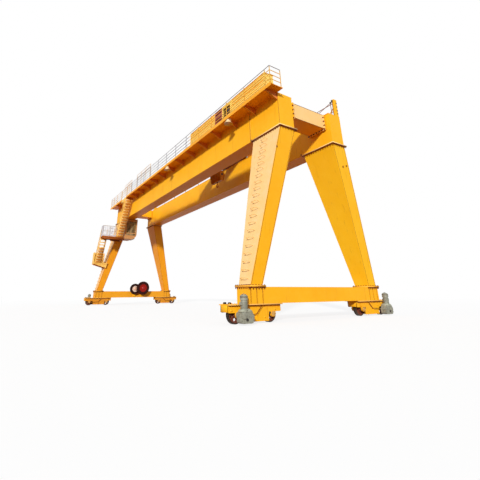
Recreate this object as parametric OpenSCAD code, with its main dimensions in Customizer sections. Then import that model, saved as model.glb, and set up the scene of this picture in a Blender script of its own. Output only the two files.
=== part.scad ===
// Rail-mounted double-girder gantry crane with A-shaped leg frames, walkway, cab and stairs.
// X runs along the girders, Y along the travel rails, Z up from the lowest point of the wheels.

/* [Gantry] */
// Distance between the two travel rails, centre to centre
span = 26000; // [22000:500:30000]
// Height of the girders' underside above the ground
under_h = 8700; // [8300:50:10500]
// Distance between the two girders' centre planes
girder_gauge = 3790; // [3500:10:4200]
// Distance between the two leg feet of one frame, centre to centre
foot_gauge = 7540; // [7000:20:8400]

/* [Girders] */
// Width of a box girder over its flanges
girder_w = 980; // [800:10:1100]
// Height of a box girder
girder_h = 1830; // [1500:10:2200]
// Thickness of the girders' top and bottom flange plates
flange_t = 25; // [16:1:40]
// How far the flange plates stand out past the webs
flange_lip = 25; // [15:1:50]
// Height of a trolley rail
rail_h = 90; // [60:5:140]
// Width of a trolley rail's foot
rail_w = 80; // [60:5:120]

/* [Legs] */
// Length of a leg's head along the girders
leg_head_l = 2070; // [1600:10:2400]
// Length of a leg's foot along the girders
leg_foot_l = 774; // [600:2:900]
// Width of a leg's foot along the rails
leg_foot_w = 620; // [480:10:760]
// Thickness of each bolted joint plate
joint_t = 30; // [20:1:45]
// How far the joint plates stand out past the boxes they join
joint_lip = 90; // [60:5:130]
// Height of the sill beams
sill_h = 620; // [500:10:760]
// Width of the sill beams
sill_w = 780; // [700:10:900]

/* [Travel gear] */
// Diameter of the wheels' running tread
wheel_d = 600; // [500:10:620]
// Height of the wheels' two flanges above the tread
wheel_flange = 25; // [15:1:35]
// Width of a wheel over its flanges
wheel_w = 150; // [120:5:180]
// Distance between the two wheels of one bogie
wheel_base = 1700; // [1500:20:1900]
// Radius of the wheel axles
axle_r = 45; // [35:1:60]
// Length of one bogie frame
bogie_l = 2600; // [2500:20:2900]
// Width of one bogie frame
bogie_w = 500; // [420:10:600]
// Thickness of the bogies' plates
bogie_t = 40; // [25:1:50]
// Half the width of a travel gear housing
gear_r = 300; // [230:5:310]
// Thickness of a travel gear housing
gear_t = 280; // [180:10:320]
// Radius of a travel motor
motor_r = 145; // [90:5:150]
// Height of a travel motor
motor_h = 480; // [300:10:520]

/* [Walkway] */
// Width of the walkway deck
deck_w = 765; // [650:5:1000]
// Thickness of the walkway deck
deck_t = 30; // [20:1:50]
// How far the walkway runs on past the girders' ends
deck_over = 395; // [200:5:700]
// Distance between two walkway brackets
bracket_pitch = 1730; // [1400:10:2200]
// Height of the handrails
handrail_h = 1080; // [900:10:1200]
// Thickness of the handrail bars
bar_t = 42; // [30:1:60]
// Height of the cabinets on the walkway
cabinet_h = 1000; // [800:10:1200]

/* [Cab and stairs] */
// Length of the cab along the girder
cab_l = 1550; // [1300:10:1600]
// Width of the cab
cab_w = 1300; // [1150:10:1500]
// Height of the cab
cab_h = 2150; // [1950:10:2300]
// Thickness of the cab's walls
cab_wall = 50; // [30:1:80]
// Clear width of the stairs
stair_w = 560; // [500:10:640]
// Height of the lower landing above the ground
landing_z = 4150; // [3400:50:4300]

/* [Trolley and hoist] */
// Length of the trolley along the girders
trolley_l = 4000; // [3800:50:4600]
// Place of the trolley along the girders
trolley_x = 4550; // [-4000:50:6000]
// Radius of the trolley wheels
trolley_wheel_r = 200; // [150:5:240]
// Radius of the hoist drum's grooved barrel
drum_r = 300; // [240:10:330]
// Length of the hoist drum
drum_l = 1500; // [1300:20:1700]
// Length of rope between the trolley's underside and the block's sheave axis
rope_drop = 1500; // [1400:10:1700]
// Radius of the hoist ropes
rope_r = 10; // [7:1:14]

/* [Cable reels] */
// Radius of the large cable reel
reel_r = 680; // [560:10:740]
// Radius of the small cable reel
small_reel_r = 540; // [420:10:600]
// Width of a cable reel
reel_w = 130; // [100:5:160]

/* [Hidden] */
$fn = 48;

steel_yellow = "#fab428";
rail_grey = "#c8ccd0";
gear_grey = "#8c8f7d";
wheel_red = "#6b2a1a";

// Clearances
fit = 0.05;
seat = 0.3;
wheel_gap = 16;

// Heights
axle_z = wheel_d / 2 + wheel_flange;
sill_bottom = 2 * axle_z + wheel_gap + bogie_t;
sill_top = sill_bottom + sill_h;
foot_z = sill_top + 2 * joint_t;
head_z = under_h - 2 * joint_t;
girder_top = under_h + girder_h;
deck_top = girder_top + deck_t;

// Places along X
half_span = span / 2;
girder_end = half_span + leg_head_l / 2;
deck_end = girder_end + deck_over;

// Places along Y
girder_y = girder_gauge / 2;
foot_y = foot_gauge / 2;
web_y = girder_w / 2 - flange_lip;
sill_half = foot_y + leg_foot_w / 2 + joint_lip + 10;
deck_in = girder_y + girder_w / 2;
deck_out = deck_in + deck_w;

// A box between two corners, given as a low and a high value on each axis
module slab(x, y, z) {
    translate([x[0], y[0], z[0]])
        cube([x[1] - x[0], y[1] - y[0], z[1] - z[0]]);
}

// An outline drawn in Y and Z, extruded along X between two values
module profile_x(x) {
    translate([x[0], 0, 0])
        rotate([90, 0, 90])
            linear_extrude(x[1] - x[0])
                children();
}

// An outline drawn in X and Z, extruded along Y between two values
module profile_y(y) {
    translate([0, y[1], 0])
        rotate([90, 0, 0])
            linear_extrude(y[1] - y[0])
                children();
}

// A round bar along X
module rod_x(x, y, z, r) {
    translate([x[0], y, z])
        rotate([0, 90, 0])
            cylinder(r = r, h = x[1] - x[0]);
}

// A straight square bar between two points of one X-Z plane, with its middle at y
module bar_xz(p, q, y, t) {
    run = q - p;
    translate([p[0], y, p[1]])
        rotate([0, -atan2(run[1], run[0]), 0])
            translate([0, -t / 2, -t / 2])
                cube([norm(run), t, t]);
}

// Leg shape at a height: distance of its middle from the centre plane, half width and half length
function leg_share(z) = (z - foot_z) / (head_z - foot_z);
function leg_y(z) = foot_y + (girder_y - foot_y) * leg_share(z);
function leg_half_w(z) = (leg_foot_w + (girder_w - leg_foot_w) * leg_share(z)) / 2;
function leg_half_l(z) = (leg_foot_l + (leg_head_l - leg_foot_l) * leg_share(z)) / 2;

// Girders

cross_w = 1100;
cross_h = 880;
cross_inset = 335;
cross_x = girder_end - cross_inset - cross_w / 2;
cross_lip = 60;
cross_bottom = girder_top - cross_h;
stub_left = 400;
stub_right = 90;
web_in = girder_y - web_y;
strap_w = 60;
strap_t = 8;

module girder(side) {
    color(steel_yellow)
    translate([0, side * girder_y, 0]) {
        profile_x([-girder_end, girder_end])
            translate([0, under_h])
                girder_section();
        // butt strap on the outer web above each leg's inner edge
        for (end = [-1, 1])
            translate([end * (half_span - leg_head_l / 2 - strap_w) - strap_w / 2, side * web_y - strap_t, under_h + flange_t])
                cube([strap_w, 2 * strap_t, girder_h - 2 * flange_t]);
    }
}

module girder_section() {
    half = girder_w / 2;
    polygon([[-half, 0], [half, 0], [half, flange_t], [web_y, flange_t],
        [web_y, girder_h - flange_t], [half, girder_h - flange_t], [half, girder_h],
        [-half, girder_h], [-half, girder_h - flange_t], [-web_y, girder_h - flange_t],
        [-web_y, flange_t], [-half, flange_t]]);
}

// Upper plates of the four bolted joints between girders and legs
module girder_leg_pads() {
    color(steel_yellow)
    for (end = [-1, 1])
        for (side = [-1, 1])
            translate([end * half_span, side * girder_y, head_z + joint_t])
                slab([-leg_head_l / 2 - joint_lip, leg_head_l / 2 + joint_lip],
                    [-girder_w / 2 - joint_lip, girder_w / 2 + joint_lip], [0, joint_t]);
}

// Short box and end plate on a girder's inner web, to which a cross beam is bolted
module cross_stub(end, side, reach) {
    tip = web_in - reach;
    y = side > 0 ? [tip + joint_t, web_in] : [-web_in, -tip - joint_t];
    y_plate = side > 0 ? [tip, tip + joint_t] : [-tip - joint_t, -tip];
    translate([end * cross_x, 0, 0]) {
        slab([-cross_w / 2, cross_w / 2], y, [cross_bottom, girder_top - flange_t]);
        slab([-cross_w / 2 - cross_lip, cross_w / 2 + cross_lip], y_plate, [cross_bottom - joint_lip, girder_top]);
    }
}

module cross_beam_stubs() {
    color(steel_yellow)
    for (end = [-1, 1]) {
        cross_stub(end, -1, stub_left);
        cross_stub(end, 1, stub_right);
    }
}

module cross_beam(end) {
    y = [stub_left - web_in, web_in - stub_right];
    color(steel_yellow)
    translate([end * cross_x, 0, 0]) {
        slab([-cross_w / 2, cross_w / 2], y, [cross_bottom, girder_top]);
        for (y_plate = [[y[0], y[0] + joint_t], [y[1] - joint_t, y[1]]])
            slab([-cross_w / 2 - cross_lip, cross_w / 2 + cross_lip], y_plate, [cross_bottom - joint_lip, girder_top]);
    }
}

rail_inset = 480;
rail_half = half_span - rail_inset;
stop_h = 420;
stop_t = 120;
stop_w = 240;

module trolley_rail(side) {
    color("#6e6259")
    translate([0, side * girder_y, girder_top])
        profile_x([-rail_half, rail_half])
            rail_section();
}

// Blocks at the ends of the trolley rails that the trolley's buffers meet
module trolley_end_stops() {
    color(steel_yellow)
    for (end = [-1, 1])
        for (side = [-1, 1])
            translate([end * (rail_half + stop_t / 2), side * girder_y, girder_top])
                slab([-stop_t / 2, stop_t / 2], [-stop_w / 2, stop_w / 2], [0, stop_h]);
}

module rail_section() {
    foot = rail_w / 2;
    head = rail_w / 2 - 14;
    polygon([[-foot, 0], [foot, 0], [foot, 12], [12, 28], [12, rail_h - 30], [head, rail_h - 22],
        [head, rail_h], [-head, rail_h], [-head, rail_h - 22], [-12, rail_h - 30], [-12, 28], [-foot, 12]]);
}

// Legs and sill beams

module leg(end, side) {
    color(steel_yellow)
    translate([end * half_span, 0, 0])
        leg_body(side);
}

module leg_body(side) {
    hull() {
        leg_slice(side, foot_z, 0);
        leg_slice(side, head_z - 1, 0);
    }
    // bolted joint plates at the foot and the head
    slab([-leg_foot_l / 2 - joint_lip, leg_foot_l / 2 + joint_lip],
        [side * foot_y - leg_foot_w / 2 - joint_lip, side * foot_y + leg_foot_w / 2 + joint_lip],
        [foot_z - joint_t, foot_z]);
    slab([-leg_head_l / 2 - joint_lip, leg_head_l / 2 + joint_lip],
        [side * girder_y - girder_w / 2 - joint_lip, side * girder_y + girder_w / 2 + joint_lip],
        [head_z, head_z + joint_t]);
}

// A thin horizontal slice of a leg, grown by a margin
module leg_slice(side, z, margin) {
    half_l = leg_half_l(z) + margin;
    half_w = leg_half_w(z) + margin;
    slab([-half_l, half_l], [side * leg_y(z) - half_w, side * leg_y(z) + half_w], [z, z + 1]);
}

module sill_beam(end) {
    rib_t = 12;
    rib_d = 18;
    color(steel_yellow)
    translate([end * half_span, 0, 0]) {
        slab([-sill_w / 2, sill_w / 2], [-sill_half, sill_half], [sill_bottom, sill_top]);
        for (side = [-1, 1]) {
            slab([-leg_foot_l / 2 - joint_lip, leg_foot_l / 2 + joint_lip],
                [side * foot_y - leg_foot_w / 2 - joint_lip, side * foot_y + leg_foot_w / 2 + joint_lip],
                [sill_top, sill_top + joint_t]);
            // stiffening ribs below the leg
            for (place = [-1, 0, 1])
                for (face = [-1, 1])
                    translate([face * (sill_w + rib_d) / 2, side * foot_y + place * (leg_foot_w / 2 - 10), 0])
                        slab([-rib_d / 2, rib_d / 2], [-rib_t / 2, rib_t / 2], [sill_bottom, sill_top]);
        }
    }
}

// Travel gear

bogie_under = sill_bottom - bogie_t;
arm_bottom = axle_z + 80;
belly_bottom = 70;
belly_half = 460;
belly_over = 200;
side_t = 25;
stiffener_t = 14;
stiffener_d = 45;
stiffener_top = 370;
stiffener_knee = [50, 320];
stiffener_end = [-680, 285];
boss_t = 55;
boss_r = 120;
boss_face = bogie_w / 2 + boss_t;

module bogie(end, side) {
    color(steel_yellow)
    translate([end * half_span, side * foot_y, 0])
        mirror([0, side > 0 ? 1 : 0, 0])
            difference() {
                bogie_frame();
                for (place = [-1, 1])
                    rod_x([-bogie_w, bogie_w], place * wheel_base / 2, axle_z, axle_r + fit);
            }
}

module bogie_frame() {
    slab([-bogie_w / 2, bogie_w / 2], [-bogie_l / 2, bogie_l / 2], [bogie_under, sill_bottom]);
    slab([-bogie_w / 2, bogie_w / 2], [-belly_half, belly_half], [belly_bottom, bogie_under]);
    for (face = [-1, 1]) {
        translate([face * (bogie_w - side_t) / 2, 0, 0])
            profile_x([-side_t / 2, side_t / 2])
                bogie_outline();
        translate([face * (bogie_w + stiffener_d) / 2, 0, 0])
            profile_x([-stiffener_d / 2, stiffener_d / 2])
                bogie_stiffener();
        for (place = [-1, 1])
            translate([face * (bogie_w / 2 + boss_t / 2 - side_t / 2), place * wheel_base / 2, 0]) {
                rod_x([-(boss_t + side_t) / 2, (boss_t + side_t) / 2], 0, axle_z, boss_r);
                slab([-(boss_t + side_t) / 2, (boss_t + side_t) / 2], [-boss_r, boss_r],
                    [axle_z, arm_bottom + 40]);
            }
    }
}

// Flat bars on edge: one slopes down from the top plate, one runs on to the outer wheel, one down
module bogie_stiffener() {
    strut([stiffener_top, bogie_under], stiffener_knee, stiffener_t);
    strut(stiffener_knee, stiffener_end, stiffener_t);
    strut(stiffener_knee, [stiffener_knee[0], belly_bottom + 20], stiffener_t);
}

// A straight strip of width t between two points
module strut(p, q, t) {
    run = q - p;
    translate(p)
        rotate(atan2(run[1], run[0]))
            translate([0, -t / 2])
                square([norm(run), t]);
}

// Side plate: an arm over each wheel and a deep part between them, with sloped haunches.
// The deep part reaches further towards the inner wheel.
module bogie_outline() {
    half = bogie_l / 2;
    haunch = 90;
    inner = belly_half + belly_over;
    polygon([[-half, bogie_under], [-half, arm_bottom + 20], [-half + 60, arm_bottom],
        [-belly_half - haunch, arm_bottom], [-belly_half, arm_bottom - haunch], [-belly_half, belly_bottom],
        [inner, belly_bottom], [inner, arm_bottom - haunch], [inner + haunch, arm_bottom],
        [half - 60, arm_bottom], [half, arm_bottom + 20], [half, bogie_under]]);
}

// One wheel of a bogie: place is -1 for the inner and 1 for the outer wheel
module travel_wheel(end, side, place) {
    hub_r = 95;
    hub_half = 110;
    web_half = 22;
    rim_r = wheel_d / 2 - 62;
    tread_r = wheel_d / 2;
    flange_r = tread_r + wheel_flange;
    half = wheel_w / 2;
    lip = 22;
    axle_half = boss_face - 2;
    color(wheel_red)
    translate([end * half_span, side * (foot_y + place * wheel_base / 2), axle_z])
        rotate([0, 90, 0])
            difference() {
                rotate_extrude()
                    polygon([[0, -axle_half], [axle_r, -axle_half], [axle_r, -hub_half], [hub_r, -hub_half],
                        [hub_r, -web_half], [rim_r, -web_half], [rim_r + 10, -half], [flange_r, -half],
                        [flange_r, -half + lip], [tread_r, -half + lip + 6], [tread_r, half - lip - 6],
                        [flange_r, half - lip], [flange_r, half], [rim_r + 10, half], [rim_r, web_half],
                        [hub_r, web_half], [hub_r, hub_half], [axle_r, hub_half], [axle_r, axle_half],
                        [0, axle_half]]);
                for (turn = [0 : 72 : 359])
                    rotate([0, 0, turn])
                        translate([(hub_r + rim_r) / 2, 0, -web_half - 1])
                            cylinder(r = (rim_r - hub_r) / 2 - 16, h = 2 * web_half + 2);
            }
}

housing_off = 80;
housing_hub_r = 130;
housing_shift = 150;
housing_low = 55;
housing_waist = 300;
housing_corner = 110;
housing_shoulder = 45;
housing_top = 2 * axle_z - 150;
motor_shift = 50;
cover_t = 14;

// Gear housing with its vertical motor, held off the outer wheel's bearing face by a round hub
module travel_drive(end, side) {
    x = [boss_face + housing_off, boss_face + housing_off + gear_t];
    color(gear_grey)
    translate([end * half_span, side * (foot_y + wheel_base / 2), 0])
        mirror([end < 0 ? 1 : 0, 0, 0])
            mirror([0, side < 0 ? 1 : 0, 0]) {
                rod_x([boss_face, x[0]], 0, axle_z, housing_hub_r);
                rod_x([x[1], x[1] + cover_t], 0, axle_z, housing_hub_r);
                translate([0, -housing_shift, 0]) {
                    profile_x(x)
                        housing_outline(motor_r + housing_shoulder);
                    translate([(x[0] + x[1]) / 2, motor_shift, housing_top])
                        rotate_extrude()
                            motor_profile();
                }
            }
}

// Bell outline of a gear housing: flat below with round corners, upright sides and sloped shoulders
module housing_outline(top_half) {
    inset = gear_r - housing_corner;
    polygon([[-gear_r, housing_low + housing_corner], [-gear_r, housing_waist], [-top_half, housing_top],
        [top_half, housing_top], [gear_r, housing_waist], [gear_r, housing_low + housing_corner]]);
    translate([-inset, housing_low])
        square([2 * inset, housing_corner]);
    for (y = [-inset, inset])
        translate([y, housing_low + housing_corner])
            circle(r = housing_corner);
}

// Turned outline of a motor: a bolting flange, cooling fins and a fan cowl
module motor_profile() {
    fins = 7;
    core = motor_r - 16;
    pitch = (motor_h * 0.55) / fins;
    fin_points = [for (i = [0 : fins - 1]) each [[core, 60 + i * pitch], [motor_r, 60 + i * pitch],
        [motor_r, 60 + i * pitch + 14], [core, 60 + i * pitch + 14]]];
    cowl = 60 + motor_h * 0.6;
    polygon(concat([[0, 0], [motor_r + 25, 0], [motor_r + 25, 30], [core, 30]], fin_points,
        [[core, cowl], [motor_r + 4, cowl], [motor_r + 4, motor_h + 10], [motor_r - 40, motor_h + 60],
        [0, motor_h + 60]]));
}

// Walkway along the left girder

stair_top_inset = 4600;
stair_top_x = stair_top_inset - half_span;
opening_l = 1550;
opening_x = stair_top_x - opening_l;
fascia_h = 130;
fascia_t = 20;
toe_h = 60;
bracket_root = 420;
bracket_tip = fascia_h;
bracket_t = 12;
bracket_flange_w = 84;
bracket_flange_t = 12;
deck_bottom = girder_top;
bracket_inset = 760;
bracket_near = half_span - bracket_inset;
bracket_margin = 540;
bracket_first = bracket_near - bracket_pitch * floor((bracket_near + half_span - bracket_margin) / bracket_pitch);
bracket_places = [for (x = [bracket_first : bracket_pitch : deck_end - bracket_margin / 2]) x];
opening_margin = 80;
deck_brackets = [for (x = bracket_places)
    if (x < opening_x - opening_margin || x > stair_top_x + opening_margin) x];

module walkway_deck() {
    color(steel_yellow)
    for (run = [[-deck_end, opening_x], [stair_top_x, deck_end]]) {
        slab(run, [-deck_out, -girder_y - web_y], [deck_bottom, deck_top]);
        slab(run, [-deck_out - fascia_t, -deck_out], [deck_top - fascia_h, deck_top + toe_h]);
    }
}

// Triangular web plates with a flange along their sloping lower edge
module walkway_brackets() {
    tip = [-deck_out, deck_bottom - bracket_tip + deck_t];
    root = [-deck_in + flange_lip, deck_bottom - bracket_root];
    color(steel_yellow)
    for (x = deck_brackets) {
        profile_x([x - bracket_t / 2, x + bracket_t / 2])
            polygon([[-deck_in, deck_bottom], [-deck_out, deck_bottom], tip, root,
                [root[0], deck_bottom - flange_t], [-deck_in, deck_bottom - flange_t]]);
        profile_x([x - bracket_flange_w / 2, x + bracket_flange_w / 2])
            polygon([tip, root, root - [0, bracket_flange_t], tip - [0, bracket_flange_t]]);
    }
}

rail_y = -deck_out + bar_t / 2;
bar_levels = [0.28, 0.52, 0.76, 1];

// Posts and bars of a handrail along X from one place to another
module rail_run(x0, x1, y, z, posts) {
    for (x = posts)
        slab([x - bar_t / 2, x + bar_t / 2], [y - bar_t / 2, y + bar_t / 2], [z, z + handrail_h]);
    for (level = bar_levels)
        slab([x0, x1], [y - bar_t / 2, y + bar_t / 2], [z + level * handrail_h - bar_t, z + level * handrail_h]);
}

module walkway_railing() {
    posts = [for (x = bracket_places) if (x < opening_x || x > stair_top_x) x + bar_t];
    color(rail_grey)
    rail_run(-deck_end + 1.5 * bar_t, deck_end - 1.5 * bar_t, rail_y, deck_top,
        concat([opening_x - bar_t, stair_top_x + bar_t], posts));
}

// Two higher guards inside the railing: one at the stairhead, one further along
guard_rise = 380;
guard_levels = [0.42, 0.62, 0.81, 1];
stairhead_guard_l = 2320;
stairhead_guard_over = 900;
far_guard_l = 3600;
far_guard_gap = 1600;

module guard_bay(x0, x1, posts) {
    y = rail_y + bar_t + seat;
    high = handrail_h + guard_rise;
    for (x = posts)
        slab([x - bar_t / 2, x + bar_t / 2], [y - bar_t / 2, y + bar_t / 2], [deck_top, deck_top + high]);
    for (level = guard_levels)
        slab([x0, x1], [y - bar_t / 2, y + bar_t / 2], [deck_top + level * high - bar_t, deck_top + level * high]);
    // upright that ends the bars beyond the last post
    slab([x0, x0 + bar_t], [y - bar_t / 2, y + bar_t / 2], [deck_top + guard_levels[0] * high - bar_t, deck_top + high]);
}

module walkway_guard_bays() {
    near_end = stair_top_x - stairhead_guard_over + stairhead_guard_l;
    far_start = near_end + far_guard_gap;
    color(rail_grey) {
        guard_bay(stair_top_x - stairhead_guard_over, near_end,
            [stair_top_x + 1.5 * bar_t, (stair_top_x + near_end) / 2, near_end - bar_t / 2]);
        guard_bay(far_start, far_start + far_guard_l,
            [for (i = [0 : 3]) far_start + bar_t / 2 + i * (far_guard_l - bar_t) / 3]);
    }
}

// Railings that close the walkway's two ends
module walkway_end_railings() {
    color(rail_grey)
    for (end = [-1, 1])
        translate([end * (deck_end - bar_t), 0, deck_top]) {
            for (y = [rail_y, -deck_in - bar_t])
                slab([-bar_t / 2, bar_t / 2], [y - bar_t / 2, y + bar_t / 2], [0, handrail_h]);
            for (level = bar_levels)
                slab([-bar_t / 2, bar_t / 2], [rail_y, -deck_in - bar_t],
                    [level * handrail_h - bar_t, level * handrail_h]);
        }
}

right_post_pitch = 2640;
end_post_x = [girder_end - 140, girder_end - 20];
end_post_y = [girder_y + web_y - 260, girder_y + web_y];
end_post_h = 1150;
stay_foot = 760;

// Broad flat post at each end of the right girder, held upright by a sloping stay
module girder_end_posts() {
    stay_y = (end_post_y[0] + end_post_y[1]) / 2;
    color(steel_yellow)
    for (end = [-1, 1])
        mirror([end < 0 ? 1 : 0, 0, 0])
            difference() {
                union() {
                    slab(end_post_x, end_post_y, [girder_top, girder_top + end_post_h]);
                    bar_xz([end_post_x[0] - stay_foot, girder_top], [end_post_x[0] + bar_t, girder_top + stay_foot], stay_y, bar_t);
                }
                slab([0, girder_end], end_post_y, [girder_top - 2 * bar_t, girder_top]);
            }
}

module right_girder_railing() {
    y = girder_y + girder_w / 2 - bar_t;
    half = end_post_x[0] - bar_t / 2;
    count = floor(2 * half / right_post_pitch);
    step = 2 * half / count;
    color(rail_grey) {
        for (i = [0 : count])
            slab([-half + i * step - bar_t / 2, -half + i * step + bar_t / 2], [y - bar_t / 2, y + bar_t / 2],
                [girder_top, girder_top + handrail_h]);
        for (level = [0.5, 1])
            slab([-half, half], [y - bar_t / 2, y + bar_t / 2],
                [girder_top + level * handrail_h - bar_t, girder_top + level * handrail_h]);
    }
}

// Equipment on the walkway

cabinet_in = deck_in + 70;
cabinet_out = deck_out - bar_t - 60;
row_gap = 40;
row_inset = 8135;
row_start = girder_end - row_inset;
cabinet_a_l = 3240;
resistor_l = 760;
house_l = 960;
cabinet_b_l = 2900;
resistor_start = row_start + cabinet_a_l + row_gap;
house_start = resistor_start + resistor_l + row_gap;
cabinet_b_start = house_start + house_l + row_gap;
rib_depth = 25;
window_sill = 230;
window_head = 160;
window_side = 100;
window_depth = 60;

// Box whose long sides are pressed into horizontal ribs
module ribbed_box(x, ribs, depth) {
    pitch = cabinet_h / ribs;
    profile_x(x)
        polygon(concat(
            [for (i = [0 : ribs - 1]) each [[-cabinet_out, deck_top + i * pitch],
                [-cabinet_out, deck_top + (i + 0.55) * pitch], [-cabinet_out + depth, deck_top + (i + 0.7) * pitch],
                [-cabinet_out + depth, deck_top + (i + 0.9) * pitch]]],
            [[-cabinet_out, deck_top + cabinet_h], [-cabinet_in, deck_top + cabinet_h], [-cabinet_in, deck_top]]));
}

module ribbed_cabinets() {
    color(steel_yellow) {
        ribbed_box([row_start, row_start + cabinet_a_l], 5, rib_depth);
        ribbed_box([cabinet_b_start, cabinet_b_start + cabinet_b_l], 5, rib_depth);
    }
}

module resistor_box() {
    color("#9c4a3c")
    ribbed_box([resistor_start, resistor_start + resistor_l], 6, rib_depth);
}

module electrical_house() {
    color(steel_yellow)
    difference() {
        slab([house_start, house_start + house_l], [-cabinet_out, -cabinet_in], [deck_top, deck_top + cabinet_h]);
        slab([house_start + window_side, house_start + house_l - window_side],
            [-cabinet_out - 1, -cabinet_out + window_depth], [deck_top + window_sill, deck_top + cabinet_h - window_head]);
    }
}

lamp_insets = [2330, 10900];
lamp_r = 240;
lamp_h = 430;
lamp_neck_r = 45;
lamp_from_edge = 60;

module floodlights() {
    color("#e8dfc8")
    for (d = lamp_insets)
        translate([half_span - d, -deck_out + lamp_from_edge, deck_bottom])
            rotate_extrude()
                polygon([[0, -lamp_h], [lamp_r, -lamp_h], [lamp_r, -lamp_h + 30], [lamp_r * 0.8, -lamp_h + 100],
                    [lamp_neck_r + 35, -140], [lamp_neck_r, -120], [lamp_neck_r, 0], [0, 0]]);
}

// Rungs up the two left legs

rung_w = 400;
rung_out = 150;
rung_t = 20;
rung_pitch = 340;
leg_lean = atan2((foot_y + leg_foot_w / 2) - (girder_y + girder_w / 2), head_z - foot_z);

module leg_rungs() {
    slope = (head_z - foot_z) / cos(leg_lean);
    color(steel_yellow)
    for (end = [-1, 1])
        translate([end * half_span, -foot_y - leg_foot_w / 2, foot_z])
            rotate([-leg_lean, 0, 0])
                for (d = [250 : rung_pitch : slope - 250])
                    translate([0, -seat, d])
                        rung();
}

module rung() {
    difference() {
        slab([-rung_w / 2, rung_w / 2], [-rung_out, 0], [-rung_t / 2, rung_t / 2]);
        slab([-rung_w / 2 + rung_t, rung_w / 2 - rung_t], [-rung_out + rung_t, 1], [-rung_t, rung_t]);
    }
}

// Cab under the left girder

cab_back = -half_span + leg_head_l / 2 + joint_lip + 40;
cab_x = [cab_back, cab_back + cab_l];
cab_y = -girder_y - girder_w / 2;
cab_top = under_h;
cab_bottom = cab_top - cab_h;
cab_round = 560;

// Section of the cab across the girder, with its front lower edge rounded
module cab_section(inset) {
    r = cab_round - inset;
    lo = cab_y + inset;
    hi = cab_y + cab_w - inset;
    polygon(concat([[lo, cab_top - inset], [lo, cab_bottom + inset]],
        [for (a = [-90 : 15 : 0]) [cab_y + cab_w - cab_round + r * cos(a), cab_bottom + cab_round + r * sin(a)]],
        [[hi, cab_top - inset]]));
}

side_window = [[cab_y + 130, cab_y + cab_w - 130], [cab_bottom + 620, cab_top - 260]];
front_window = [[cab_x[0] + 130, cab_x[1] - 130], [cab_bottom + 620, cab_top - 260]];

module cab_shell() {
    color(steel_yellow)
    difference() {
        profile_x(cab_x)
            cab_section(0);
        profile_x([cab_x[0] + cab_wall, cab_x[1] - cab_wall])
            cab_section(cab_wall);
        slab([cab_x[0] - 1, cab_x[1] + 1], side_window[0], side_window[1]);
        slab(front_window[0], [cab_y + cab_w / 2, cab_y + cab_w + 1], front_window[1]);
    }
}

module cab_glass() {
    pane_t = 12;
    color("#2c3438")
    {
        for (x = [cab_x[0] + cab_wall / 2, cab_x[1] - cab_wall / 2])
            slab([x - pane_t / 2, x + pane_t / 2], side_window[0], side_window[1]);
        slab(front_window[0], [cab_y + cab_w - cab_wall / 2 - pane_t / 2, cab_y + cab_w - cab_wall / 2 + pane_t / 2],
            front_window[1]);
    }
}

// Cab platform, stairs and lower landing

platform_t = 120;
platform_z = cab_bottom + platform_t;
platform_reach = 2250;
platform_step_y = 1130;
platform_step_x = 740;
platform_out = cab_y - platform_reach;
platform_step = cab_y - platform_step_y;
outer_x = cab_x[0] + platform_step_x;
stair_run = 0.56;
stringer_t = 12;
tread_t = 30;
tread_d = 190;
stringer_d = 260;
rise = 270;
nosing = 35;
rail_up = 950;
rail_from = 20;
rail_shares = [0.06, 0.49, 0.92];
rail_part = 0.807;

// Steep stair that climbs towards +X, with open treads between two stringers
module stair(foot, head, y) {
    slope = (head[1] - foot[1]) / (head[0] - foot[0]);
    steps = floor((head[1] - foot[1]) / rise);
    for (edge = [y[0], y[1] - stringer_t])
        profile_y([edge, edge + stringer_t])
            polygon([foot, head, [head[0], head[1] - slope * stringer_d], [foot[0] + stringer_d, foot[1]]]);
    for (i = [1 : steps])
        let (z = foot[1] + i * (head[1] - foot[1]) / (steps + 1), x = foot[0] + (z - foot[1]) / slope)
            slab([x + nosing, x + nosing + tread_d], [y[0] + stringer_t, y[1] - stringer_t], [z - tread_t, z]);
}

// Sloped handrail of a stair on one side
module stair_rail(foot, head, y) {
    run = head - foot;
    last = foot + 0.965 * run;
    for (share = rail_shares)
        let (p = foot + share * run)
            slab([p[0] + rail_from, p[0] + rail_from + bar_t], [y - bar_t / 2, y + bar_t / 2], [p[1] - bar_t, p[1] + rail_up]);
    for (level = [0.5, 1])
        bar_xz(foot + [rail_from, level * rail_up], last + [rail_from, level * rail_up], y, bar_t * 0.8);
}

upper_y = [-deck_out + 20, -deck_out + 20 + stair_w + 2 * stringer_t];
upper_foot = [stair_top_x - (deck_top - platform_z) * stair_run, platform_z];
upper_head = [stair_top_x, deck_top];

module upper_stair() {
    color(steel_yellow) {
        stair(upper_foot, upper_head, upper_y);
        stair_rail(upper_foot, upper_foot + rail_part * (upper_head - upper_foot), upper_y[0] - bar_t / 2);
    }
}

lower_y = [platform_out + 40, platform_out + 40 + stair_w + 2 * stringer_t];
lower_head = [outer_x, platform_z];
lower_foot = [outer_x - (platform_z - landing_z) * stair_run, landing_z];

module lower_stair() {
    color(steel_yellow) {
        stair(lower_foot, lower_head, lower_y);
        stair_rail(lower_foot, lower_head, lower_y[0] - bar_t / 2);
    }
}

module cab_platform() {
    top = platform_z;
    edge = cab_x[1] - bar_t;
    stair_side = upper_y[0] - 160;
    color(rail_grey) {
        slab(cab_x, [platform_step, cab_y], [top - platform_t, top]);
        slab([outer_x, cab_x[1]], [platform_out, platform_step], [top - platform_t, top]);
        for (level = [0.5, 1]) {
            slab([edge, edge + bar_t], [platform_out, stair_side], rail_band(top, level));
            slab([outer_x, cab_x[1]], [platform_out, platform_out + bar_t], rail_band(top, level));
        }
        for (p = [[edge, platform_out], [edge, (platform_out + stair_side) / 2], [edge, stair_side - bar_t],
            [outer_x, platform_out]])
            slab([p[0], p[0] + bar_t], [p[1], p[1] + bar_t], [top, top + handrail_h]);
    }
}

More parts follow.
